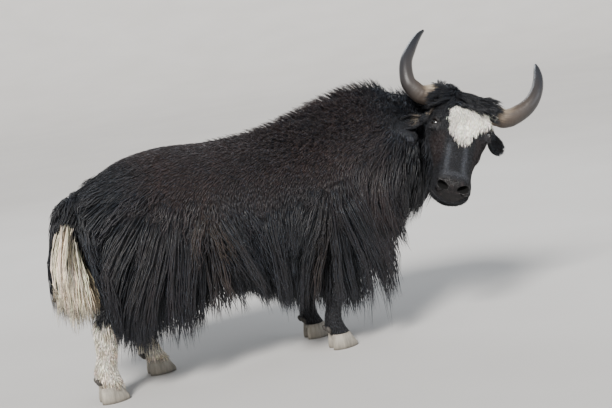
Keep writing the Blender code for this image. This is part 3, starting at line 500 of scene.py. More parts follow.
def head_point(distance, angle):
    """A point of the head's skin: its distance down from the poll and the angle round the section."""
    top, middle, bottom, half = (float(smooth(HEAD, column, distance)) for column in range(1, 5))
    c, s = math.cos(angle), math.sin(angle)
    jaw = 0.42 - 0.2 * float(ramp(distance, 0.4, 0.48))
    if s >= 0:
        rise, wide = (top - middle) * signed_power(s, 0.85), half * signed_power(c, 0.72)
    else:
        rise = (middle - bottom) * signed_power(s, 0.95)
        wide = half * signed_power(c, 0.85) * (1 - jaw * s * s)
    return Vector((middle + rise, wide, -distance))


def ellipsoid(name, place, radii, turn=None):
    """A closed ellipsoid in the head's axes, turned before it is placed."""
    builder = bmesh.new()
    bmesh.ops.create_icosphere(builder, subdivisions=4, radius=1.0)
    matrix = Matrix.Translation(place) @ (turn or Matrix()) @ Matrix.Diagonal((*radii, 1))
    bmesh.ops.transform(builder, verts=builder.verts, matrix=matrix)
    return object_from(name, builder)


def mirrored(point, side):
    """A point of the head's left side, or its mirror image where the side is -1."""
    return Vector((point[0], side * point[1], point[2]))


def eye_axes(side):
    """Outwards, along the slit and across it, at the eye on that side, in the head's axes."""
    out = mirrored((0.62, 0.78, 0.0), side).normalized()
    slit = mirrored((0.66, -0.53, -0.5), side)
    slit = (slit - out * slit.dot(out)).normalized()
    return out, slit, out.cross(slit)


def eye_opening(side):
    """The almond-shaped cutter that parts the lids."""
    place, (out, slit, rise) = mirrored(EYE_PLACE, side), eye_axes(side)
    rings = []
    for reach, spread in ((0.01, 0.8), (0.05, 1.25)):
        rings.append([place + out * reach + slit * (EYE_SLIT[0] * spread * c)
                      + rise * (EYE_SLIT[1] * spread * signed_power(s, 1.25)) for c, s in circle(32)])
    return loft("eye_opening", rings)


def lid_fold(side, start, end, reach, high, long, radius):
    """A fold of skin that arches over or under the eye, between two angles round it."""
    place, (out, slit, rise) = mirrored(EYE_PLACE, side), eye_axes(side)
    path, radii = [], []
    for k in range(13):
        angle = math.radians(start + (end - start) * k / 12)
        path.append(place + out * (reach - 0.006 * abs(math.cos(angle))) + slit * (long * math.cos(angle))
                    - rise * (side * high * math.sin(angle)))
        radii.append(radius * (0.25 + 0.75 * math.sin(math.pi * k / 12)))
    return tube("lid_fold", path, radii, 10)


def nostril(side):
    """A deep slit whose inner end is the lower one."""
    out = mirrored((0.62, 0.42, -0.66), side).normalized()
    slit = mirrored((0.1, -0.75, -0.66), side)
    slit = (slit - out * slit.dot(out)).normalized()
    turn = Matrix((slit, out.cross(slit), out)).transposed().to_4x4()
    return ellipsoid("nostril", mirrored(NOSTRIL, side), NOSTRIL_SIZE, turn=turn)


def mouth_line():
    """A thin tube along the surface, from one corner of the mouth round the front to the other."""
    path = spline(MOUTH + [mirrored(p, -1) for p in MOUTH[-2::-1]], 41)
    radii = [0.002 + 0.0032 * min(i, 40 - i, 8) / 8 for i in range(41)]
    return tube("mouth_line", [Vector(p) for p in path], radii, 8)


def ear_frame(side):
    """Along the ear, out of its opening and across it. The two ears stand out at angles of their own."""
    along = mirrored((-0.34 if side < 0 else -0.62, 0.9 if side < 0 else 0.66, -0.3), side).normalized()
    opening = mirrored((0.85, 0.25, -0.45), side)
    opening = (opening - along * opening.dot(along)).normalized()
    return along, opening, along.cross(opening)


def ear(side):
    """A cupped ear: crescent sections, open forwards, rooted well inside the head."""
    along, opening, across = ear_frame(side)
    rings = []
    for distance in np.linspace(EAR[0, 0], EAR[-1, 0], 20):
        radius, wall = (float(smooth(EAR, column, distance)) for column in (1, 2))
        middle = mirrored(EAR_ROOT, side) + along * distance
        outer, inner = [], []
        for k in range(17):
            angle = math.radians(-112 + 224 * k / 16)
            way = opening * (-0.62 * math.cos(angle)) + across * math.sin(angle)
            outer.append(middle + way * radius)
            inner.append(middle + way * (radius - wall))
        rings.append(outer + inner[::-1])
    return loft("ear", rings, tip=mirrored(EAR_ROOT, side) + along * (EAR_LENGTH + 0.008) - opening * 0.008)


def ear_stub(side):
    """The thick root of the ear, from inside the head to where its cup opens."""
    along, opening, across = ear_frame(side)
    root = mirrored(EAR_ROOT, side)
    rings = []
    for distance, radius in ((-0.075, 0.03), (-0.04, 0.032), (-0.01, 0.028), (0.012, 0.022)):
        middle = root + along * distance
        rings.append([middle + (opening * 0.8 * c + across * s) * radius for c, s in circle(20)])
    return loft("ear_stub", rings)


def pedicle(side):
    """The hairy foot that the horn stands on."""
    x, y, z = HORN_PATHS[side][0]
    path = [mirrored(p, side) for p in ((x - 0.004, 0.06, z - 0.006), (x, 0.135, z), (x, y, z))]
    rings = [[place + Vector((radius * c, 0, radius * s)) for c, s in circle(28)]
             for place, radius in zip(path, (0.06, 0.067, 0.057))]
    return loft("pedicle", rings)


def head_skin():
    """The head with its brows, lids, nostrils, lips, cheeks and ears as one fine surface."""
    rings = [[head_point(distance, math.tau * i / 56) for i in range(56)]
             for distance in np.linspace(HEAD[0, 0], HEAD[-1, 0], 60)]
    head = loft("head", rings)
    added = [ellipsoid(name, *form) for name, form in MIDDLE_FORMS.items()]
    for side in (1, -1):
        added += [pedicle(side), ear_stub(side), ear(side)]
        for name, (place, radii) in SIDE_FORMS.items():
            added.append(ellipsoid(name, mirrored(place, side), radii))
        added += [lid_fold(side, *fold) for fold in LID_FOLDS]
    combine(head, added, "UNION")
    groove = [Vector((0.02 - 0.073 * k / 12, 0, -0.53 - 0.053 * (k / 12) ** 0.7)) for k in range(13)]
    removed = [mouth_line(), tube("philtrum", groove, [0.0035] * 13, 8)] + [nostril(side) for side in (1, -1)]
    combine(head, removed, "DIFFERENCE")
    remeshed(head, 0.003, 5)
    cut = [eye_opening(side) for side in (1, -1)]
    cut += [ellipsoid("socket", mirrored(EYE_PLACE, side), (EYE_RADIUS + 0.0004,) * 3) for side in (1, -1)]
    combine(head, cut, "DIFFERENCE")
    head.data.transform(head_matrix())
    return head


# The skin, and where a point of it is


class Places:
    """What each of many points belongs to, with its place in the head's axes and along the neck."""

    def __init__(self, points):
        self.points = points
        inverse = np.array(head_matrix().inverted())
        self.head_place = points @ inverse[:3, :3].T + inverse[:3, 3]
        middle, way, _ = head_plane()
        frames = [neck_frame(t) for t in np.linspace(0, 1, 21)]
        line = np.array([place for place, _ in frames])
        nearest = np.argmin(((points[:, None] - line[None]) ** 2).sum(axis=2), axis=1)
        self.neck_t = nearest / 20
        self.neck_way = np.array([turn @ Vector((1, 0, 0)) for _, turn in frames])[nearest]
        self.neck_up = np.array([turn @ Vector((0, 0, 1)) for _, turn in frames])[nearest]
        self.neck_rise = ((points - line[nearest]) * self.neck_up).sum(axis=1)
        x, y, z = self.head_place.T
        down = np.clip(-z, HEAD[0, 0], HEAD[-1, 0])
        top, jaw, half = (smooth(HEAD, column, down) for column in (1, 3, 4))
        near = (np.abs(y) < half + 0.03) & (x > jaw - 0.03) & (x < top + 0.06) & (z > -0.62)
        near |= (np.abs(y) < 0.36) & (np.abs(z + 0.07) < 0.13) & (x > -0.17) & (x < 0.12)
        self.ear = np.zeros(len(points), bool)
        for side in (1, -1):
            apart, along = self.head_place - np.array(mirrored(EAR_ROOT, side)), np.array(ear_frame(side)[0])
            reach = np.clip(apart @ along, 0, EAR_LENGTH)
            self.ear |= np.linalg.norm(apart - reach[:, None] * along, axis=1) < EAR_REACH
        self.head = ((self.head_place - np.array(middle)) @ np.array(way) > 0) & near | self.ear
        self.horn_foot = self.head & ~self.ear & (np.abs(y) > 0.152) & (np.abs(z) < 0.085) & (x > -0.12)
        self.neck = ~self.head & (points[:, 0] > NECK_X)
        dock = np.array(spline(TAIL_DOCK, 24))
        apart = np.sqrt(((points[:, None] - dock[None, :, :3]) ** 2).sum(axis=2)).min(axis=1)
        self.tail = (points[:, 0] < TAIL_FRONT) & (apart < TAIL_WIDE)
        self.leg = (points[:, 2] < LEG_TOP) & ~self.head & ~self.tail
        self.torso = ~(self.head | self.neck | self.tail | self.leg)


def inside(outline, x, y):
    """Which points lie inside a closed outline."""
    found = np.zeros(len(x), bool)
    for (x0, y0), (x1, y1) in zip(outline, np.roll(outline, -1, axis=0)):
        crosses = (y0 > y) != (y1 > y)
        found ^= crosses & (x < (x1 - x0) * (y - y0) / (y1 - y0 + 1e-12) + x0)
    return found


def mottle(points, size, seed=0.0):
    """A soft pattern of patches about that size, from 0 to 1."""
    total = np.zeros(len(points))
    for k in range(4):
        wave = points * (2.2 + 1.3 * k) / size + np.array((1.7, 0.6, 2.9)) * (k + seed)
        first, second, third = wave.T
        total += np.sin(first + 1.9 * np.sin(second)) * np.cos(third + 1.3 * np.sin(first)) / (k + 1)
    return np.clip(0.5 + total / 3, 0, 1)


def nose_pad(head_place):
    """How far each point belongs to the bare pad between and round the nostrils."""
    x, y, z = head_place.T
    reach = np.sqrt((y / 0.086) ** 2 + ((x + 0.01) / 0.044) ** 2)
    return ramp(-z, 0.484, 0.5) * ramp(-reach, -1.12, -0.98)


def blaze(head_place):
    """Which points lie in the white patch on the forehead, with a ragged edge."""
    x, y, z = head_place.T
    ragged = 0.012 * (mottle(head_place, 0.012) - 0.5) + 0.008 * (mottle(head_place, 0.004, 2.0) - 0.5)
    return inside(BLAZE, y + ragged, -z + 2.4 * ragged) & (x > -0.045)


def face(where):
    """How much painted sheen each point of the face has, how brown it is and how far it belongs to the lids.
    """
    x, y, z = where.head_place.T
    patchy = 0.55 + 0.9 * mottle(where.head_place, 0.03)
    # Painted sheen: grey-blue stripes down both sides of the nose bridge, and the same grey in a line above
    # the nose pad.
    edges = np.exp(-((np.abs(y + 0.01) - 0.045) / 0.013) ** 2) * ramp(-z, 0.27, 0.31) * ramp(z, -0.47, -0.43)
    edges += 0.8 * np.exp(-((z + 0.462) / 0.014) ** 2) * ramp(-np.abs(y), -0.085, -0.06)
    # Painted sheen over the cheek.
    cheek_sheen = 0.7 * ramp(-x, 0.06, 0.12) * ramp(-z, 0.14, 0.2) * ramp(z, -0.42, -0.34)
    dull = np.clip((edges * ramp(x, -0.04, 0.0) + cheek_sheen) * patchy, 0, 1)
    brown = ramp(np.abs(y), 0.07, 0.095) * ramp(-z, 0.2, 0.24)
    brown = brown * ramp(z, -0.43, -0.36) * ramp(x, -0.1, -0.05)
    apart = np.min([np.linalg.norm(where.head_place - np.array(mirrored(EYE_PLACE, side)), axis=1)
                    for side in (1, -1)], axis=0)
    return dull * where.head, brown * where.head, ramp(-apart, -0.05, -0.034) * where.head


def markings(where):
    """The base colour at each point: black, rusty over the back, with white blaze, tail and hind legs."""
    x, y, z = where.points.T
    tone = np.tile(BLACK_HAIR, (len(x), 1))
    saddle = ramp(z, 0.76, 1.06) * ramp(x, -1.1, -0.8) * ramp(-x, -0.62, -0.35) * (where.torso | where.neck)
    tone = mix(tone, RUST_HAIR, (saddle * (0.55 + 0.45 * mottle(where.points, 0.25)))[:, None])
    matted = np.exp(-((x + 0.64) / 0.05) ** 2 - ((z - 0.85) / 0.11) ** 2) * (y < 0) * where.torso
    matted += 0.7 * np.exp(-((x - 0.01) / 0.03) ** 2 - ((z - 0.74) / 0.07) ** 2) * (y < 0) * where.torso
    tone = mix(tone, BROWN_HAIR, np.clip(matted * 0.75 * mottle(where.points, 0.03, 3.0), 0, 1)[:, None])
    hind = where.leg & (x < FORE_END)
    white = hind * ramp(-z - 0.05 * (mottle(where.points, 0.05) - 0.5), -0.43, -0.4)
    far = hind * (y > 0) * ramp(-z - 0.03 * (mottle(where.points, 0.04) - 0.5), -0.26, -0.22)
    white = np.where(y > 0, far, white)
    white = np.maximum(white, where.tail * ramp(-z, -0.96, -0.9))
    marked = where.head * blaze(where.head_place)
    white = np.maximum(white, marked)
    stain = np.clip(mottle(where.points, 0.055, 1.0) * 1.4 - 0.62, 0, 1) * (where.leg | where.tail)
    stain = np.maximum(stain, hind * 0.6 * ramp(-z, -0.14, -0.09))
    dull, brown, lids = face(where)
    tone = mix(tone, RUST_HAIR, (0.6 * brown)[:, None])
    # Painted sheen: grey-blue light laid over the black hair of the face.
    tone = mix(tone, PAINTED_SHEEN_GREY, (0.8 * dull)[:, None])
    tone = mix(tone, LID_SKIN, (0.8 * lids)[:, None])
    fuzz = where.horn_foot * (0.5 + 0.5 * mottle(where.points, 0.02, 5.0))
    across, height = where.head_place[:, 1], where.head_place[:, 2]
    pale = 0.3 * np.exp(-((across + 0.222) / 0.012) ** 2) * ramp(height, -0.135, -0.115)
    fuzz = np.maximum(fuzz, where.ear * pale)
    tone = mix(tone, HORN_FUZZ, fuzz[:, None])
    tone = mix(tone, mix(WHITE_HAIR, BLAZE_HAIR, np.maximum(marked, 0.7 * hind)[:, None]), white[:, None])
    return mix(tone, STAINED_HAIR, (white * stain * 0.8)[:, None])


def nostril_shade_mask(skin, where):
    """Where the skin lines a nostril, near its middle and facing into it: where its painted shade goes."""
    normals = vertex_normals(skin.data) @ np.array(head_matrix().to_quaternion().to_matrix())
    depth = np.zeros(len(normals))
    for side in (1, -1):
        apart = np.array(mirrored(NOSTRIL, side)) - where.head_place
        distance = np.linalg.norm(apart, axis=1)
        facing = (normals * apart).sum(axis=1) / np.maximum(distance, 1e-6)
        depth += ramp(facing, 0.1, 0.45) * (distance < 0.045)
    return depth * where.head


def whole_skin():
    """Body and head as one closed surface, its markings darkened as painted shade under the coat."""
    skin = combine(body_skin(), [head_skin()], "UNION")
    where = Places(positions(skin.data))
    # The markings, darkened as painted shade where the skin lies under the coat.
    set_attribute(skin.data, "tone", markings(where) * SKIN_PAINTED_SHADE)
    set_attribute(skin.data, "bare", nose_pad(where.head_place) * where.head)
    # Painted shade: the skin lining each nostril is painted near black.
    set_attribute(skin.data, "painted_hollow_shade", nostril_shade_mask(skin, where))
    skin.data.shade_smooth()
    return skin


# The coat


class Ground:
    """The skin as a place to root hairs in."""

    def __init__(self, obj):
        mesh = obj.data
        mesh.calc_loop_triangles()
        corners = np.empty(len(mesh.loop_triangles) * 3, np.int32)
        mesh.loop_triangles.foreach_get("vertices", corners)
        self.corners = positions(mesh)[corners.reshape(-1, 3)]
        self.point_normals = vertex_normals(mesh)[corners.reshape(-1, 3)]
        cross = np.cross(self.corners[:, 1] - self.corners[:, 0], self.corners[:, 2] - self.corners[:, 0])
        self.areas = np.linalg.norm(cross, axis=1) / 2
        self.where = Places(self.corners.mean(axis=1))
        self.normals = unit(self.point_normals.mean(axis=1))
        self.tree = BVHTree.FromObject(obj, bpy.context.evaluated_depsgraph_get())

    def roots(self, weights, density):
        """Even random places, so many to a square metre where the weight is 1, with the normals there."""
        mass = self.areas * weights
        count = int(mass.sum() * density)
        ladder = np.cumsum(mass)
        picks = np.searchsorted(ladder, (np.arange(count) + RNG.uniform(0, 1, count)) / count * ladder[-1])
        picks = np.minimum(picks, len(mass) - 1)
        a, b = np.sqrt(RNG.uniform(0, 1, count)), RNG.uniform(0, 1, count)
        shares = np.stack([1 - a, a * (1 - b), a * b], axis=1)[:, :, None]
        normals = (self.point_normals[picks] * shares).sum(axis=1)
        return (self.corners[picks] * shares).sum(axis=1), unit(normals)

    def pushed(self, points, clearance):
        """The points, each moved off the skin where it is closer than its clearance."""
        moved = points.copy()
        for i, point in enumerate(points):
            near, normal, _, _ = self.tree.find_nearest(point)
            height = (Vector(point) - near).dot(normal)
            if height < clearance[i]:
                moved[i] += np.array(normal) * (clearance[i] - height)
        return moved


def fan(x, z):
    """How far the hair is swept along X on its way down, for each metre that it hangs."""
    return np.interp(x, SWEEP[:, 0], SWEEP[:, 1]) * mix(1.0, 0.35, ramp(-z, -0.68, -0.44))


def lie(where):
    """The way that the hair points at each place, before it is laid along the skin."""
    x, _, z = where.points.T
    hanging = ramp(-z, -1.16, -0.8)
    along = mix(-0.95, 1.15 * fan(x, z), hanging) + (0.45 * (mottle(where.points, 0.13) - 0.5) * hanging
                                                     - 0.35 * ramp(-x, 0.85, 1.1) * (1 - hanging))
    way = np.stack([along, np.zeros(len(x)), mix(-0.4, -1.0, hanging)], axis=1)
    sweep = -where.neck_way * 0.55 + np.array((0, 0, -0.8)) - where.neck_up * 0.25
    way = mix(way, sweep, (ramp(x, NECK_X - 0.15, NECK_X + 0.1) * ~where.head)[:, None])
    turn = np.array(head_matrix().to_quaternion().to_matrix())
    head_y, head_z = where.head_place[:, 1], where.head_place[:, 2]
    parted = np.clip((head_y + 0.06) / 0.05, -1, 1) * ramp(head_z, -0.11, -0.06)
    down = np.stack([0.9 * ramp(head_z, -0.06, 0.0), 1.8 * parted, np.full(len(x), -1.0)], axis=1)
    down[where.horn_foot] = np.stack([0 * x, np.sign(head_y), -0.25 + 0 * x], axis=1)[where.horn_foot]
    down[where.ear, 1] += 2.5 * np.sign(head_y)[where.ear]
    way[where.head] = (down @ turn.T)[where.head]
    way[where.leg | where.tail] = (0.0, 0.0, -1.0)
    return unit(way)


def groomed(ground, start, normals, lengths, look, rise, clearance, tuck=0.0, spring=0.4):
    """Hairs combed over the skin: each leaves its root, turns into the lie and is kept off the skin."""
    steps, stiffness, count = look.steps, look.stiffness, len(normals)
    paths = np.empty((count, steps + 1, 3))
    paths[:, 0] = start.points - normals * ROOT_DEPTH
    lying, clearance = lie(start), np.broadcast_to(clearance, count)
    flat = unit(lying - normals * (lying * normals).sum(axis=1, keepdims=True))
    way = unit(flat + normals * np.broadcast_to(rise, count)[:, None])
    for k in range(steps):
        reached = paths[:, k] + way * (lengths / steps)[:, None]
        reached = ground.pushed(reached, clearance * min((k + 1) / (spring * steps), 1))
        rear = np.where(start.torso, REAR_X + 0.035 + 0.07 * ramp(-reached[:, 2], -0.98, -0.45), TAIL_REACH)
        reached[:, 0] = np.maximum(reached[:, 0], rear)
        paths[:, k + 1] = reached
        wanted = lie(Places(reached))
        wanted[:, 1] -= tuck * np.sign(reached[:, 1]) * (reached[:, 2] < TUCK_BELOW)
        way = unit(unit(reached - paths[:, k]) * stiffness + unit(wanted) * (1 - stiffness))
    return paths


def hair_sides(paths, normals):
    """Two ways square to each hair at each of its points: along the skin, and away from it."""
    along = unit(np.gradient(paths, axis=1))
    side = unit(np.cross(along, normals[:, None, :] + 0.01))
    return side, np.cross(side, along)


def clumped(paths, normals, look, clump, shortest):
    """Hairs round each guide, spread over the skin at the root and drawn together towards the tip."""
    (count, points, _), children = paths.shape, look.hairs
    shares = np.linspace(0, 1, points)
    side, out = hair_sides(paths, normals)
    angle = RNG.uniform(0, math.tau, (count, children))
    spread = look.spread * np.sqrt(RNG.uniform(0, 1, (count, children)))
    shortest = np.broadcast_to(shortest, count)[:, None]
    length = shortest + (1 - shortest) * RNG.uniform(0, 1, (count, children))
    at = shares[None, None, :] * length[:, :, None] * (points - 1)
    low = np.minimum(at.astype(int), points - 2)
    part = (at - low)[..., None]
    rows = np.arange(count)[:, None, None]
    base = paths[rows, low] * (1 - part) + paths[rows, low + 1] * part
    close = 1 - np.broadcast_to(clump, count)[:, None, None] * shares ** 1.3
    phase, beat = RNG.uniform(0, math.tau, (count, children, 1)), RNG.uniform(0.8, 2.2, (count, children, 1))
    wave = look.curl * np.sin(math.tau * beat * shares + phase) * shares ** 0.7
    across = (spread * np.cos(angle))[:, :, None] * close + wave
    deep = (spread * np.sin(angle) * 0.45)[:, :, None] * close + 0.5 * wave * np.cos(phase * 3)
    hairs = base + side[rows, low] * across[..., None] + out[rows, low] * deep[..., None]
    return hairs.reshape(-1, points, 3), np.repeat(normals, children, axis=0)


def angle_share(height, width):
    """An angle round an axis as a share of the full turn."""
    return np.arctan2(height, width) / math.tau + 0.5


def bake_places(where, normals):
    """Each root's place on an unwrap of the skin, with a chart each for torso, neck, head, tail and leg."""
    x, y, z = where.points.T
    head = where.head_place
    around = angle_share(z - smooth(TORSO, 2, np.clip(x, REAR_X, NECK_X)), y)
    charts = np.stack([0.02 + 0.5 * (x + 1.42) / 2.05, 0.02 + 0.96 * around], axis=1)
    leg, row = angle_share(normals[:, 1], normals[:, 0]), 2 * (x < FORE_END) + (y > 0)
    for part, along, across in (
            (where.neck, 0.54 + 0.1 * where.neck_t,
             0.02 + 0.96 * angle_share(where.neck_rise, y - where.neck_t * -0.3)),
            (where.head, 0.66 + 0.2 * np.clip((0.1 - head[:, 2]) / 0.75, 0, 1),
             0.02 + 0.96 * angle_share(head[:, 0] + 0.08, head[:, 1])),
            (where.leg, 0.88 + 0.1 * np.clip(z / 0.5, 0, 1), 0.02 + 0.185 * (row + leg)),
            (where.tail, 0.88 + 0.1 * np.clip((z - 0.5) / 0.6, 0, 1), 0.8 + 0.18 * leg)):
        charts[part] = np.stack([along, across], axis=1)[part]
    return np.clip(charts, 0.003, 0.997)


def hair_object(name, paths, normals, widths, tones, places, look, material):
    """One mesh of closed, tapered, three-sided hairs, each with its patch on the map for baking."""
    count, points, _ = paths.shape
    shares = np.linspace(0, 1, points)
    side, out = hair_sides(paths, normals)
    twist = RNG.uniform(-0.5, 0.5, (count, 1, 1))
    side, out = side * np.cos(twist) + out * np.sin(twist), out * np.cos(twist) - side * np.sin(twist)
    half = (widths[:, None] * np.interp(shares[:-1], TAPER_AT, TAPER) / 2)[..., None]
    corners = np.stack([paths[:, :-1] - side[:, :-1] * half, paths[:, :-1] + side[:, :-1] * half,
                        paths[:, :-1] + out[:, :-1] * half * look.depth * 2], axis=2)
    vertices = np.concatenate([corners.reshape(count, -1, 3), paths[:, -1:]], axis=1)
    each = vertices.shape[1]
    edges, last = ((0, 1), (1, 2), (2, 0)), 3 * (points - 2)
    quads = [(3 * k + a, 3 * k + b, 3 * k + 3 + b, 3 * k + 3 + a)
             for k in range(points - 2) for a, b in edges]
    triangles = [(last + a, last + b, each - 1) for a, b in edges] + [(0, 2, 1)]
    pattern = np.array([i for face in quads + triangles for i in face])
    starts = np.cumsum([0] + [len(face) for face in (quads + triangles)[:-1]])
    mesh = bpy.data.meshes.new(name)
    mesh.vertices.add(count * each)
    mesh.loops.add(count * len(pattern))
    mesh.polygons.add(count * len(starts))
    number = np.arange(count)[:, None]
    mesh.vertices.foreach_set("co", (vertices + np.array(SHIFT)).astype(np.float32).ravel())
    mesh.loops.foreach_set("vertex_index", (pattern + number * each).astype(np.int32).ravel())
    mesh.polygons.foreach_set("loop_start", (starts + number * len(pattern)).astype(np.int32).ravel())
    mesh.update(calc_edges=True)
    mesh.shade_smooth()
    heights = np.concatenate([np.repeat(shares[:-1], 3), [1.0]])
    across = np.concatenate([np.tile((0.0, 1.0, 0.5), points - 1), [0.5]])
    length = np.linalg.norm(np.diff(paths, axis=1), axis=2).sum(axis=1)
    wide, long, apart = STRAND_SCALES
    strand = np.stack([wide * widths[:, None] * across[None], long * length[:, None] * heights[None],
                       np.repeat(RNG.uniform(0, apart, (count, 1)), each, axis=1)], axis=2)
    set_attribute(mesh, "strand", strand.reshape(-1, 3))
    # Painted shade: each hair is darkened towards its root, and its tip is paler where the sun has bleached
    # it.
    shades = np.interp(heights, SHADE_AT, (look.root_shade, (1 + look.root_shade) / 2, *TIP_SHADES))
    set_attribute(mesh, "tone", (tones[:, None, :] * shades[None, :, None]).reshape(-1, 3))
    layer = mesh.uv_layers.new(name="OFBake")
    patch = np.stack([heights, across], axis=1) - 0.5
    spots = places[:, None, :] + patch[pattern][None] * BAKE_PATCH
    layer.data.foreach_set("uv", spots.astype(np.float32).ravel())
    mesh.materials.append(material)
    made = bpy.data.objects.new(name, mesh)
    bpy.context.scene.collection.objects.link(made)
    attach(made, "root")
    return made


def rooted(ground, name, weights):
    """The roots of a coat's guides, and the skin's normals there."""
    roots, normals = ground.roots(weights, COATS[name].density)
    return Places(roots), normals


def grow(name, ground, material, there, normals, lengths, rise, clearance, tones=None, clump=0.0,
         shortest=0.7, **combed):
    """Combs a coat's guides, sets hairs round them and makes pieces of them, each under the limit."""
    look = COATS[name]
    tones = markings(there) if tones is None else tones
    paths = groomed(ground, there, normals, lengths, look, rise, clearance, **combed)
    if look.hairs > 1:
        paths, normals = clumped(paths, normals, look, clump, shortest)
        tones = np.repeat(tones, look.hairs, axis=0)
    count, points, _ = paths.shape
    places = bake_places(Places(paths[:, 0]), normals)
    tones = tones * (RNG.uniform(0.7, 1.3, (count, 1)) * RNG.uniform(0.92, 1.08, (count, 3)))
    widths = look.width * RNG.uniform(0.75, 1.25, count)
    parts = math.ceil(count * (6 * (points - 2) + 4) / PIECE_LIMIT)
    for number, share in enumerate(np.array_split(np.argsort(paths[:, 0, 0]), parts)):
        hair_object(f"{name}_{number + 1}", paths[share], normals[share], widths[share], tones[share],
                    places[share], look, material)


def hem(x):
    """The height that the hair hangs down to."""
    return smooth(HEM, 1, np.clip(x, HEM[0, 0], HEM[-1, 0]))


def skirt_top(x):
    """The height where the long coat begins."""
    return smooth(LONG_TOP, 1, np.clip(x, LONG_TOP[0, 0], LONG_TOP[-1, 0]))


def long_coat(ground, material):
    """The skirt, chest, thighs and shoulders: locks that hang to the hem in overlapping layers."""
    x, y, z = ground.where.points.T
    top = skirt_top(x)
    weights = ground.where.torso * ramp(-z, -top - 0.15, -top + 0.05) * mix(1.0, 0.6, ramp(-z, -0.66, -0.56))
    weights *= 1 - 0.85 * ramp(-np.abs(y), -0.14, -0.06) * ramp(-z, -0.62, -0.58)
    there, normals = rooted(ground, "coat_long", weights)
    x, _, z = there.points.T
    below, swept = skirt_top(x) - z, fan(x, 0.7)
    drop = (z - hem(x + swept * 0.25)) * (1.08 + 0.22 * np.abs(swept)) + RNG.uniform(0.0, 0.06, len(x))
    partial = RNG.uniform(0.2, 0.4, len(x)) * ramp(below, -0.22, 0.06)
    full = (z < 0.68) | (RNG.uniform(0, 1, len(x)) < 0.45 * ramp(below, -0.04, 0.06))
    lengths = np.clip(np.where(full, drop, partial), 0.1, 0.7)
    clearance = 0.006 + 0.028 * ramp(z, 0.5, 0.8) * ramp(below, -0.2, 0.2) + RNG.uniform(0, 0.012, len(x))
    grow("coat_long", ground, material, there, normals, lengths, 0.16, clearance,
         clump=RNG.uniform(0.0, 0.55, len(x)), shortest=np.where(full, 0.84, 0.65), tuck=0.06, spring=0.9)


def short_coat(ground, material):
    """The sleek hair of the back and upper flanks, longer towards the skirt."""
    x, _, z = ground.where.points.T
    top = skirt_top(x)
    there, normals = rooted(ground, "coat_short", ground.where.torso * ramp(z, top - 0.14, top - 0.04))
    x, _, z = there.points.T
    lengths = mix(0.046, 0.085, ramp(skirt_top(x) - z, -0.2, 0.02)) + 0.018 * ramp(x, -0.1, 0.3)
    lengths = lengths * RNG.uniform(0.75, 1.25, len(x))
    grow("coat_short", ground, material, there, normals, lengths, 0.16, RNG.uniform(0.002, 0.008, len(x)))


def mane(ground, material):
    """The upright hair over the hump and the crest of the neck."""
    where = ground.where
    crest = where.torso * ramp(where.points[:, 0], -0.6, 0.1) * ramp(ground.normals[:, 2], 0.3, 0.75)
    crest = np.maximum(crest, where.neck * ramp((ground.normals * where.neck_up).sum(axis=1), 0.25, 0.65))
    there, normals = rooted(ground, "coat_mane", crest)
    tall = ramp(there.points[:, 0], -0.5, 0.2) * (1 - 0.8 * ramp(there.neck_t, 0.55, 0.95) * there.neck)
    lengths = mix(0.046, 0.084, tall) * RNG.uniform(0.85, 1.1, len(tall))
    grow("coat_mane", ground, material, there, normals, lengths, mix(0.5, 1.8, tall), 0.012, clump=0.1)


def neck_coat(ground, material):
    """The shaggy sides and underside of the neck."""
    there, normals = rooted(ground, "coat_neck", ground.where.neck)
    low = ramp(-there.neck_rise, -0.05, 0.15)
    lengths = (0.095 + 0.135 * low) * RNG.uniform(0.8, 1.2, len(low))
    grow("coat_neck", ground, material, there, normals, lengths, 0.24, 0.008 + 0.014 * low, clump=0.35)


def head_coat(ground, material):
    """The short hair of the face, left off the nose pad and the eyes."""
    where = ground.where
    eyes = np.ones(len(where.points))
    for side in (1, -1):
        out, slit, rise = (np.array(v) for v in eye_axes(side))
        apart = where.head_place - np.array(mirrored(EYE_PLACE, side))
        higher = apart - np.array((0.0, 0.0, 0.01))
        eyes *= 1 - ramp(-np.hypot(higher @ slit / 1.15, higher @ rise), -0.037, -0.029) * (apart @ out > 0)
        eyes *= 1 - ramp(-np.linalg.norm(apart, axis=1), -0.0275, -0.0262)
    there, normals = rooted(ground, "coat_head", where.head * (1 - nose_pad(where.head_place)) * eyes)
    x, _, z = there.head_place.T
    down = ramp(-z, 0.2, 0.42)
    lengths = mix(0.024, 0.015, down) + 0.03 * ramp(-x, 0.12, 0.2) * (1 - down) * ~there.ear
    lengths += 0.012 * blaze(there.head_place)
    lengths = lengths * RNG.uniform(0.8, 1.2, len(x))
    grow("coat_head", ground, material, there, normals, lengths, 0.09, 0.001)


def forelock(ground, material):
    """The thick dark cap over the poll, between the horns, and the beard under the jaw."""
    where = ground.where
    x, _, z = where.head_place.T
    cap = ramp(z, -0.085, -0.045) * ramp(x, -0.08, -0.02)
    beard = ramp(-x, 0.15, 0.19) * ramp(z, -0.42, -0.36)
    behind = ramp(-x, 0.06, 0.1) * ramp(z, -0.2, -0.12)
    clear = where.head & ~where.ear & ~where.horn_foot
    weights = clear * np.maximum(np.maximum(cap, 0.6 * beard), 0.5 * behind)
    there, normals = rooted(ground, "coat_forelock", weights)
    capped = ramp(there.head_place[:, 0], -0.08, -0.02)
    lengths = mix(0.06, 0.082, capped) * RNG.uniform(0.8, 1.2, len(capped))
    tones = np.where((capped > 0.5)[:, None], np.array(BLACK_HAIR), markings(there))
    grow("coat_forelock", ground, material, there, normals, lengths, mix(0.5, 0.35, capped),
         mix(0.006, 0.016, capped), tones, clump=0.2)


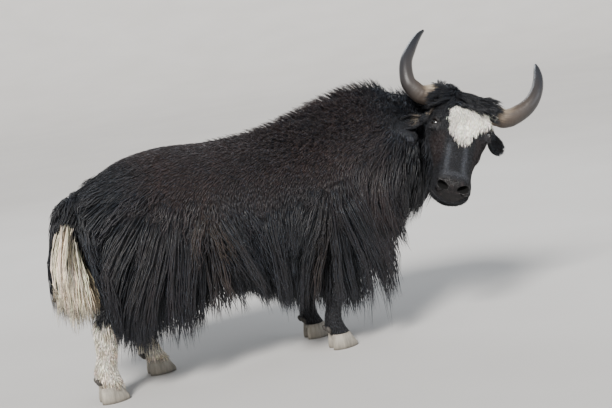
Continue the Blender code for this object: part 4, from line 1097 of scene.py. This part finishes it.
def leg_coat(ground, material):
    """The short hair of the legs, down over the tops of the hooves."""
    there, normals = rooted(ground, "coat_legs", ground.where.leg)
    z, hind = there.points[:, 2], there.points[:, 0] < FORE_END
    lengths = mix(0.02, 0.032, ramp(z, 0.2, 0.45)) + 0.012 * ramp(-z, -0.13, -0.1) + 0.012 * hind
    lengths = lengths * RNG.uniform(0.8, 1.2, len(z))
    rise, clearance = mix(0.2, 0.34, hind), mix(0.0025, 0.007, hind)
    grow("coat_legs", ground, material, there, normals, lengths, rise, clearance)


def tail_coat(ground, material):
    """The tail: black at the top and along its outer edge, and below that a long white brush."""
    there, normals = rooted(ground, "coat_tail", ground.where.tail)
    z = there.points[:, 2]
    outer, forward = ramp(-normals[:, 0], 0.35, 0.85), ramp(normals[:, 0], -0.3, 0.6)
    top = ramp(z + 0.09 * outer, 0.98, 1.02)
    target = np.where(top > 0.5, z - RNG.uniform(0.1, 0.22, len(z)), RNG.uniform(0.34, 0.46, len(z)))
    lengths = np.clip(z - target, 0.1, 0.56)
    black = (top > 0.5) | (RNG.uniform(0, 1, len(z)) < outer * ramp(z, 0.74, 0.84))
    tones = np.where(black[:, None], np.array(BLACK_HAIR), np.array(WHITE_HAIR))
    stain = np.clip(mottle(there.points, 0.1, 2.0) * 1.5 - 0.5, 0, 1) * ~black
    tones = mix(tones, STAINED_HAIR, 0.7 * stain[:, None])
    grow("coat_tail", ground, material, there, normals, lengths, mix(0.8, 0.4, top) + 0.5 * forward, 0.03,
         tones, clump=0.1)


# Horns, hooves and eyes


def horn(side):
    """A ringed horn that thins and smooths towards its tip."""
    count, sides = 97, 40
    path = [Vector(p) for p in spline([mirrored(p, side) for p in HORN_PATHS[side]], count)]
    radii = [p[0] for p in spline([(r,) for r in HORN_RADII], count)]
    path[0] = path[0] - Vector((0, side * 0.01, 0))
    rings, grain = [], []
    for i, point in enumerate(path):
        f = i / (count - 1)
        along = (path[min(i + 1, count - 1)] - path[i - 1]).normalized() if i else Vector((0, side, 0))
        first = Vector((1, 0, 0))
        first = (first - along * first.dot(along)).normalized()
        second = along.cross(first)
        ripple = 1 + 0.02 * math.sin(f * 118 + 2.0 * math.sin(f * 23)) * max(0.0, 1 - f / 0.5)
        rings.append([])
        for k, (c, s) in enumerate(circle(sides)):
            lump = 1 + 0.012 * math.sin(5 * (math.tau * k / sides) + 9 * f) * max(0.0, 1 - f / 0.35)
            rings[-1].append(point + (first * c + second * s) * radii[i] * ripple * lump)
            grain.append((c, -side * s, f))
    made = loft("horn", rings, tip=path[-1] + (path[-1] - path[-2]).normalized() * 0.012)
    set_attribute(made.data, "grain", grain + [(0, 0, 1)])
    made.data.transform(head_matrix())
    return made


# A claw's sections from sole to coronet: height, toe and heel as shares of its length, and width.
CLAW = np.array([(0.0, 0.6, 0.4, 0.97), (0.006, 0.605, 0.405, 1.0), (0.02, 0.59, 0.41, 1.03),
                 (0.05, 0.47, 0.39, 1.0), (HOOF_HEIGHT, 0.34, 0.36, 0.92)])


def foot_place(foot):
    """The middle of a hoof on the ground."""
    side, limb, shift, set_on = FEET[foot]
    return limb[-1, 0] + shift + set_on * 0.93, side * limb[-1, 1]


def claw(foot, inner):
    """One claw of a cloven hoof, flat below and behind, sloping to its toe, with its growth lines."""
    (x, y), side = foot_place(foot), FEET[foot][0]
    out = -side if inner else side
    rings = []
    for z in np.linspace(0, HOOF_HEIGHT, 30):
        toe, heel, wide = (float(smooth(CLAW, column, z)) for column in (1, 2, 3))
        ridge = 1 + 0.008 * math.sin(z * 640) * (z > 0.004)
        rings.append([])
        for c, s in circle(36):
            reach = (toe if c > 0 else heel) * HOOF_LENGTH * ridge
            spread = (0.5 + 0.5 * s * ridge) * (1 - 0.35 * max(c, 0) ** 2)
            rings[-1].append((x + reach * c, y + out * (CLAW_GAP / 2 + spread * CLAW_WIDTH * wide), z))
    return loft("claw", rings)


def dewclaw(foot, inner):
    """One of the two small claws behind the fetlock."""
    side = FEET[foot][0]
    back = Vector(limb_ring(foot, 0.118, 10)[5])
    place = back + Vector((0.004, (-side if inner else side) * 0.026, 0))
    return ellipsoid("dewclaw", place, (0.014, 0.014, 0.021), turn=Matrix.Rotation(math.radians(-28), 4, "Y"))


def hoof(foot):
    """Two claws, the web between them and the two small claws behind."""
    x, y = foot_place(foot)
    web = ellipsoid("web", (x - 0.01, y, HOOF_HEIGHT - 0.018), (0.042, 0.034, 0.024))
    claws, small = ([made(foot, inner) for inner in (False, True)] for made in (claw, dewclaw))
    return joined("hoof_" + foot, claws + [web] + small)


def eye(side):
    """An eyeball, with each vertex's place across the gaze for its iris and pupil."""
    builder = bmesh.new()
    bmesh.ops.create_uvsphere(builder, u_segments=64, v_segments=48, radius=EYE_RADIUS)
    ball = object_from("eye", builder)
    out, slit, rise = (np.array(v) for v in eye_axes(side))
    places = positions(ball.data)
    gaze = np.stack([places @ slit, places @ rise, places @ out], axis=1) / EYE_RADIUS
    set_attribute(ball.data, "gaze", gaze)
    set_positions(ball.data, places + np.array(mirrored(EYE_PLACE, side)))
    ball.data.transform(head_matrix())
    return ball


# Materials


class Nodes:
    """A material's node tree, built by short calls."""

    def __init__(self, name, roughness, **sockets):
        self.material = bpy.data.materials.new(name)
        self.material.use_nodes = True
        self.tree = self.material.node_tree
        self.shader = self.tree.nodes["Principled BSDF"]
        self.shader.inputs["Roughness"].default_value = roughness
        for socket, value in sockets.items():
            self.shader.inputs[socket.replace("_", " ")].default_value = value

    def add(self, kind, links=None, **values):
        node = self.tree.nodes.new(kind)
        for name, value in values.items():
            if hasattr(node, name):
                setattr(node, name, value)
            else:
                node.inputs[name.replace("_", " ")].default_value = value
        for socket, source in (links or {}).items():
            self.tree.links.new(source, node.inputs[socket])
        return node

    def attribute(self, name):
        return self.add("ShaderNodeAttribute", attribute_name=name)

    def colours(self, source, stops):
        """A colour ramp through the given places and colours, where a lone number is a grey."""
        node = self.add("ShaderNodeValToRGB", {"Fac": source})
        stops = [(place, colour if isinstance(colour, tuple) else grey(colour)) for place, colour in stops]
        elements = node.color_ramp.elements
        elements[0].position, elements[0].color = stops[0][0], (*stops[0][1], 1)
        elements[1].position, elements[1].color = stops[-1][0], (*stops[-1][1], 1)
        for place, colour in stops[1:-1]:
            elements.new(place).color = (*colour, 1)
        return node.outputs["Color"]

    def noise(self, scale, detail=4.0, vector=None):
        vector = vector or self.place()
        return self.add("ShaderNodeTexNoise", {"Vector": vector}, Scale=scale, Detail=detail).outputs["Fac"]

    def place(self):
        return self.add("ShaderNodeTexCoord").outputs["Object"]

    def sum_of(self, first, factor, second=0.0):
        """A number times a factor, plus another number or link."""
        node = self.add("ShaderNodeMath", {0: first}, operation="MULTIPLY_ADD")
        node.inputs[1].default_value = factor
        if isinstance(second, bpy.types.NodeSocket):
            self.tree.links.new(second, node.inputs[2])
        else:
            node.inputs[2].default_value = second
        return node.outputs[0]

    def length(self, vector):
        return self.add("ShaderNodeVectorMath", {0: vector}, operation="LENGTH").outputs["Value"]

    def bands(self, vector, scale, distortion, detail):
        return self.add("ShaderNodeTexWave", {"Vector": vector}, wave_type="BANDS", bands_direction="Z",
                        Scale=scale, Distortion=distortion, Detail=detail).outputs["Fac"]

    def stretched(self, vector, scale):
        return self.add("ShaderNodeMapping", {"Vector": vector}, Scale=scale).outputs["Vector"]

    def blend(self, kind, first, second, share):
        """Two colours put together, with the share given as a number or a link."""
        node = self.add("ShaderNodeMix", data_type="RGBA", blend_type=kind)
        for socket, value in (("Factor", share), (6, first), (7, second)):
            if isinstance(value, bpy.types.NodeSocket):
                self.tree.links.new(value, node.inputs[socket])
            else:
                node.inputs[socket].default_value = value if isinstance(value, float) else (*value, 1)
        return node.outputs[2]

    def bump(self, height, strength, distance, normal=None):
        links = {"Height": height}
        if normal:
            links["Normal"] = normal
        return self.add("ShaderNodeBump", links, Strength=strength, Distance=distance).outputs["Normal"]

    def colour(self, source):
        self.tree.links.new(source, self.shader.inputs["Base Color"])

    def roughness(self, source):
        self.tree.links.new(source, self.shader.inputs["Roughness"])

    def normal(self, source):
        self.tree.links.new(source, self.shader.inputs["Normal"])


def grey(value):
    """A grey as a colour."""
    return (value, value, value)


def coat_material():
    """Hair: its own colour, drawn out in fine strands that are partly painted highlights, with a cool sheen.
    """
    made = Nodes("coat_hair", 0.5, Specular_IOR_Level=0.45, Sheen_Weight=0.1, Sheen_Roughness=0.35)
    made.shader.inputs["Sheen Tint"].default_value = (0.62, 0.76, 1.0, 1)
    tone = made.attribute("tone").outputs["Color"]
    cloud = made.colours(made.noise(9.0), [(0.3, 0.75), (0.7, 1.25)])
    strands = made.noise(1.1, 2.0, made.attribute("strand").outputs["Vector"])
    # The strands' light and dark streaks: partly each hair's own tone that differs at random, partly painted
    # highlight.
    fine = made.colours(strands, [(0.3, 0.35), (0.7, 1.8)])
    made.colour(made.blend("MULTIPLY", made.blend("MULTIPLY", tone, cloud, 1.0), fine, 1.0))
    made.roughness(made.colours(strands, [(0.3, 0.62), (0.7, 0.38)]))
    made.normal(made.bump(strands, 0.7, 0.0012))
    return made.material


def skin_material():
    """Skin under the coat, with the same markings and a nap of fine hair, and a moist pebbled nose pad."""
    made = Nodes("skin", 0.6, Specular_IOR_Level=0.3)
    tone = made.attribute("tone").outputs["Color"]
    bare = made.attribute("bare").outputs["Fac"]
    place = made.place()
    nap = made.noise(420.0, 3.0, made.stretched(place, (1, 1, 0.25)))
    haired = made.blend("MULTIPLY", tone, made.colours(nap, [(0.3, 0.6), (0.7, 1.3)]), 1.0)
    pad = made.colours(made.noise(45.0), [(0.3, PAD_DARK), (0.55, PAD_SKIN), (0.8, PAD_PINK)])
    # Painted shade: the lining deep in each nostril is painted near black.
    painted_hollow_shade = made.attribute("painted_hollow_shade").outputs["Fac"]
    made.colour(made.blend("MIX", made.blend("MIX", haired, pad, bare), PAINTED_HOLLOW_SHADE, painted_hollow_shade))
    moist = made.colours(bare, [(0.0, 0.62), (1.0, 0.22)])
    made.roughness(made.blend("MIX", moist, grey(0.95), painted_hollow_shade))
    pebbles = made.add("ShaderNodeTexVoronoi", {"Vector": place}, Scale=330.0).outputs["Distance"]
    height = made.blend("MIX", nap, pebbles, bare)
    made.normal(made.bump(height, 0.8, 0.0018))
    return made.material


def horn_material():
    """Horn: a pale frayed base, brownish rings, then slate grey with a polished tip."""
    made = Nodes("horn", 0.4, Specular_IOR_Level=0.5)
    grain = made.attribute("grain").outputs["Vector"]
    parts = made.add("ShaderNodeSeparateXYZ", {"Vector": grain})
    along = parts.outputs["Z"]
    streaks = made.noise(3.0, 5.0, made.stretched(grain, (4, 4, 1.5)))
    wander = made.sum_of(streaks, 0.22, made.sum_of(parts.outputs["Y"], -0.12, along))
    base = made.colours(wander, [
        (0.08, (0.36, 0.3, 0.22)), (0.2, (0.2, 0.155, 0.11)), (0.31, (0.06, 0.044, 0.033)),
        (0.55, (0.033, 0.028, 0.026)), (0.82, (0.019, 0.02, 0.024)), (1.0, (0.007, 0.008, 0.01))])
    fibres = made.noise(9.0, 6.0, made.stretched(grain, (6, 6, 1.0)))
    fibres = made.colours(fibres, [(0.3, 0.72), (0.7, 1.25)])
    made.colour(made.blend("MULTIPLY", base, fibres, 1.0))
    made.roughness(made.colours(along, [(0.0, 0.66), (0.3, 0.45), (0.7, 0.26), (1.0, 0.2)]))
    rings = made.bands(made.stretched(grain, (0.05, 0.05, 1.0)), 28.0, 2.5, 2.0)
    fading = made.colours(along, [(0.0, 1.0), (0.55, 0.15), (1.0, 0.0)])
    ridges = made.blend("MULTIPLY", rings, fading, 1.0)
    first = made.bump(ridges, 0.5, 0.002)
    made.normal(made.bump(made.noise(16.0, 6.0, made.stretched(grain, (5, 5, 1.2))), 0.35, 0.0012, first))
    return made.material


def hoof_material():
    """Hoof horn: pale cream and grey, darker at the ground, with growth lines and dust in them."""
    made = Nodes("hoof", 0.5, Specular_IOR_Level=0.4)
    place = made.place()
    height = made.add("ShaderNodeSeparateXYZ", {"Vector": place}).outputs["Z"]
    base = made.colours(made.sum_of(height, 1 / 0.14), [
        (0.0, (0.13, 0.115, 0.095)), (0.12, (0.26, 0.235, 0.195)), (0.45, (0.35, 0.325, 0.275)),
        (0.62, (0.3, 0.27, 0.23)), (0.75, (0.05, 0.045, 0.04))])
    lines = made.bands(place, 90.0, 1.5, 3.0)
    streaks = made.noise(60.0, 5.0, made.stretched(place, (1, 1, 0.15)))
    shade = made.blend("MULTIPLY", made.colours(lines, [(0.0, 0.82), (1.0, 1.08)]),
                       made.colours(streaks, [(0.3, 0.65), (0.7, 1.25)]), 1.0)
    made.colour(made.blend("MULTIPLY", base, shade, 1.0))
    made.roughness(made.colours(streaks, [(0.3, 0.42), (0.7, 0.68)]))
    made.normal(made.bump(streaks, 0.4, 0.001, made.bump(lines, 0.45, 0.0012)))
    return made.material


def eye_material():
    """A dark brown iris round a wide, level pupil, under a wet gloss."""
    made = Nodes("eye", 0.06, Specular_IOR_Level=0.6, Coat_Weight=1.0, Coat_Roughness=0.02)
    gaze = made.attribute("gaze").outputs["Vector"]
    pupil = made.length(made.stretched(gaze, (0.62, 1.25, 0.0)))
    rim = made.length(made.stretched(gaze, (1.0, 1.0, 0.0)))
    iris = made.colours(made.noise(14.0, 5.0, gaze), [(0.3, IRIS_DARK), (0.7, IRIS_BROWN)])
    dark = made.blend("MIX", grey(0.002), iris, made.colours(pupil, [(0.24, 0.0), (0.32, 1.0)]))
    white = made.colours(rim, [(0.68, 0.0), (0.8, 1.0)])
    made.colour(made.blend("MIX", dark, EYE_WHITE, white))
    return made.material


def floor_material():
    """A pale, dull floor with faint clouds in it."""
    made = Nodes("floor", 0.85, Specular_IOR_Level=0.2)
    made.colour(made.colours(made.noise(0.8, 3.0), [(0.3, FLOOR_DARK), (0.7, FLOOR_PALE)]))
    return made.material


# The scene


def placed(obj, name, material, slot, *nodes):
    """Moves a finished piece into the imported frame, in the place of the CAD nodes that it stands for."""
    obj.name = name
    obj.data.transform(Matrix.Translation(SHIFT))
    obj.data.materials.clear()
    obj.data.materials.append(material)
    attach(obj, "root")
    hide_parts(*nodes)
    return obj


def studio():
    """A pale floor that rises into a far backdrop, a soft sun from the camera's left, two lamps and a sky."""
    profile = [(r, 0.0) for r in (2.0, 6.0, 12.0, FLOOR_RADIUS)]
    profile += [(FLOOR_RADIUS + BACKDROP_RADIUS * math.sin(angle), BACKDROP_RADIUS * (1 - math.cos(angle)))
                for angle in np.linspace(0.04, 0.9, 24)]
    builder, sides = bmesh.new(), 96
    rows = [[builder.verts.new((r * c, r * s, z)) for c, s in circle(sides)] for r, z in profile]
    builder.faces.new(rows[0])
    for lower, upper in zip(rows, rows[1:]):
        for i in range(sides):
            j = (i + 1) % sides
            builder.faces.new((lower[i], lower[j], upper[j], upper[i]))
    floor = object_from("floor", builder)
    floor.data.materials.append(floor_material())
    for name, kind, place, size, power, colour in LIGHTS:
        light = bpy.data.lights.new(name, kind)
        light.energy, light.color = power, colour
        if kind == "SUN":
            light.angle = size
        else:
            light.shape, light.size = "DISK", size
        lamp = bpy.data.objects.new(name, light)
        lamp.location = place
        lamp.rotation_mode = "QUATERNION"
        lamp.rotation_quaternion = (LIT_PLACE - Vector(place)).to_track_quat("-Z", "Y")
        bpy.context.scene.collection.objects.link(lamp)
    world = bpy.data.worlds.new("studio")
    world.use_nodes = True
    background = world.node_tree.nodes["Background"]
    background.inputs["Color"].default_value = (*SKY_COLOUR, 1)
    background.inputs["Strength"].default_value = SKY_STRENGTH
    bpy.context.scene.world = world


def photo_camera():
    """A camera seven metres off, at the photograph's angle and framing, tipped as the photograph is."""
    azimuth, elevation, roll = (math.radians(angle) for angle in CAMERA_ANGLES)
    back = Vector((math.sin(azimuth) * math.cos(elevation), -math.cos(azimuth) * math.cos(elevation),
                   math.sin(elevation)))
    right = Vector((math.cos(azimuth), math.sin(azimuth), 0))
    up = back.cross(right)
    across = right * math.cos(roll) - up * math.sin(roll)
    upright = up * math.cos(roll) + right * math.sin(roll)
    data = bpy.data.cameras.new("camera")
    data.sensor_width, data.lens = SENSOR_WIDTH, LENS
    camera = bpy.data.objects.new("camera", data)
    turn = Matrix((across, upright, back)).transposed().to_4x4()
    camera.matrix_world = Matrix.Translation(CAMERA_TARGET + back * CAMERA_DISTANCE + SHIFT) @ turn
    bpy.context.scene.collection.objects.link(camera)
    bpy.context.scene.camera = camera


def frame_shift():
    """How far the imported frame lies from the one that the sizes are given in, read from an eye's place."""
    low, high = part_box("eye_left")
    return (low + high) / 2 - head_matrix() @ EYE_PLACE


SHIFT = frame_shift()

studio()
photo_camera()
skin = whole_skin()
ground = Ground(skin)
hair = coat_material()
for coat in (long_coat, short_coat, mane, neck_coat, head_coat, forelock, leg_coat, tail_coat):
    coat(ground, hair)
placed(skin, "skin", skin_material(), "coat_black", "torso", "neck", "head", "tail", "ear_left", "ear_right",
       *("leg_" + foot for foot in FEET))
horn_look, hoof_look, eye_look = horn_material(), hoof_material(), eye_material()
for side, word in ((1, "left"), (-1, "right")):
    placed(horn(side), "horn_" + word + "_skin", horn_look, "horn", "horn_" + word)
    placed(eye(side), "eye_" + word + "_ball", eye_look, "eye", "eye_" + word)
for foot in FEET:
    placed(hoof(foot), "hoof_" + foot + "_horn", hoof_look, "hoof", "hoof_" + foot)
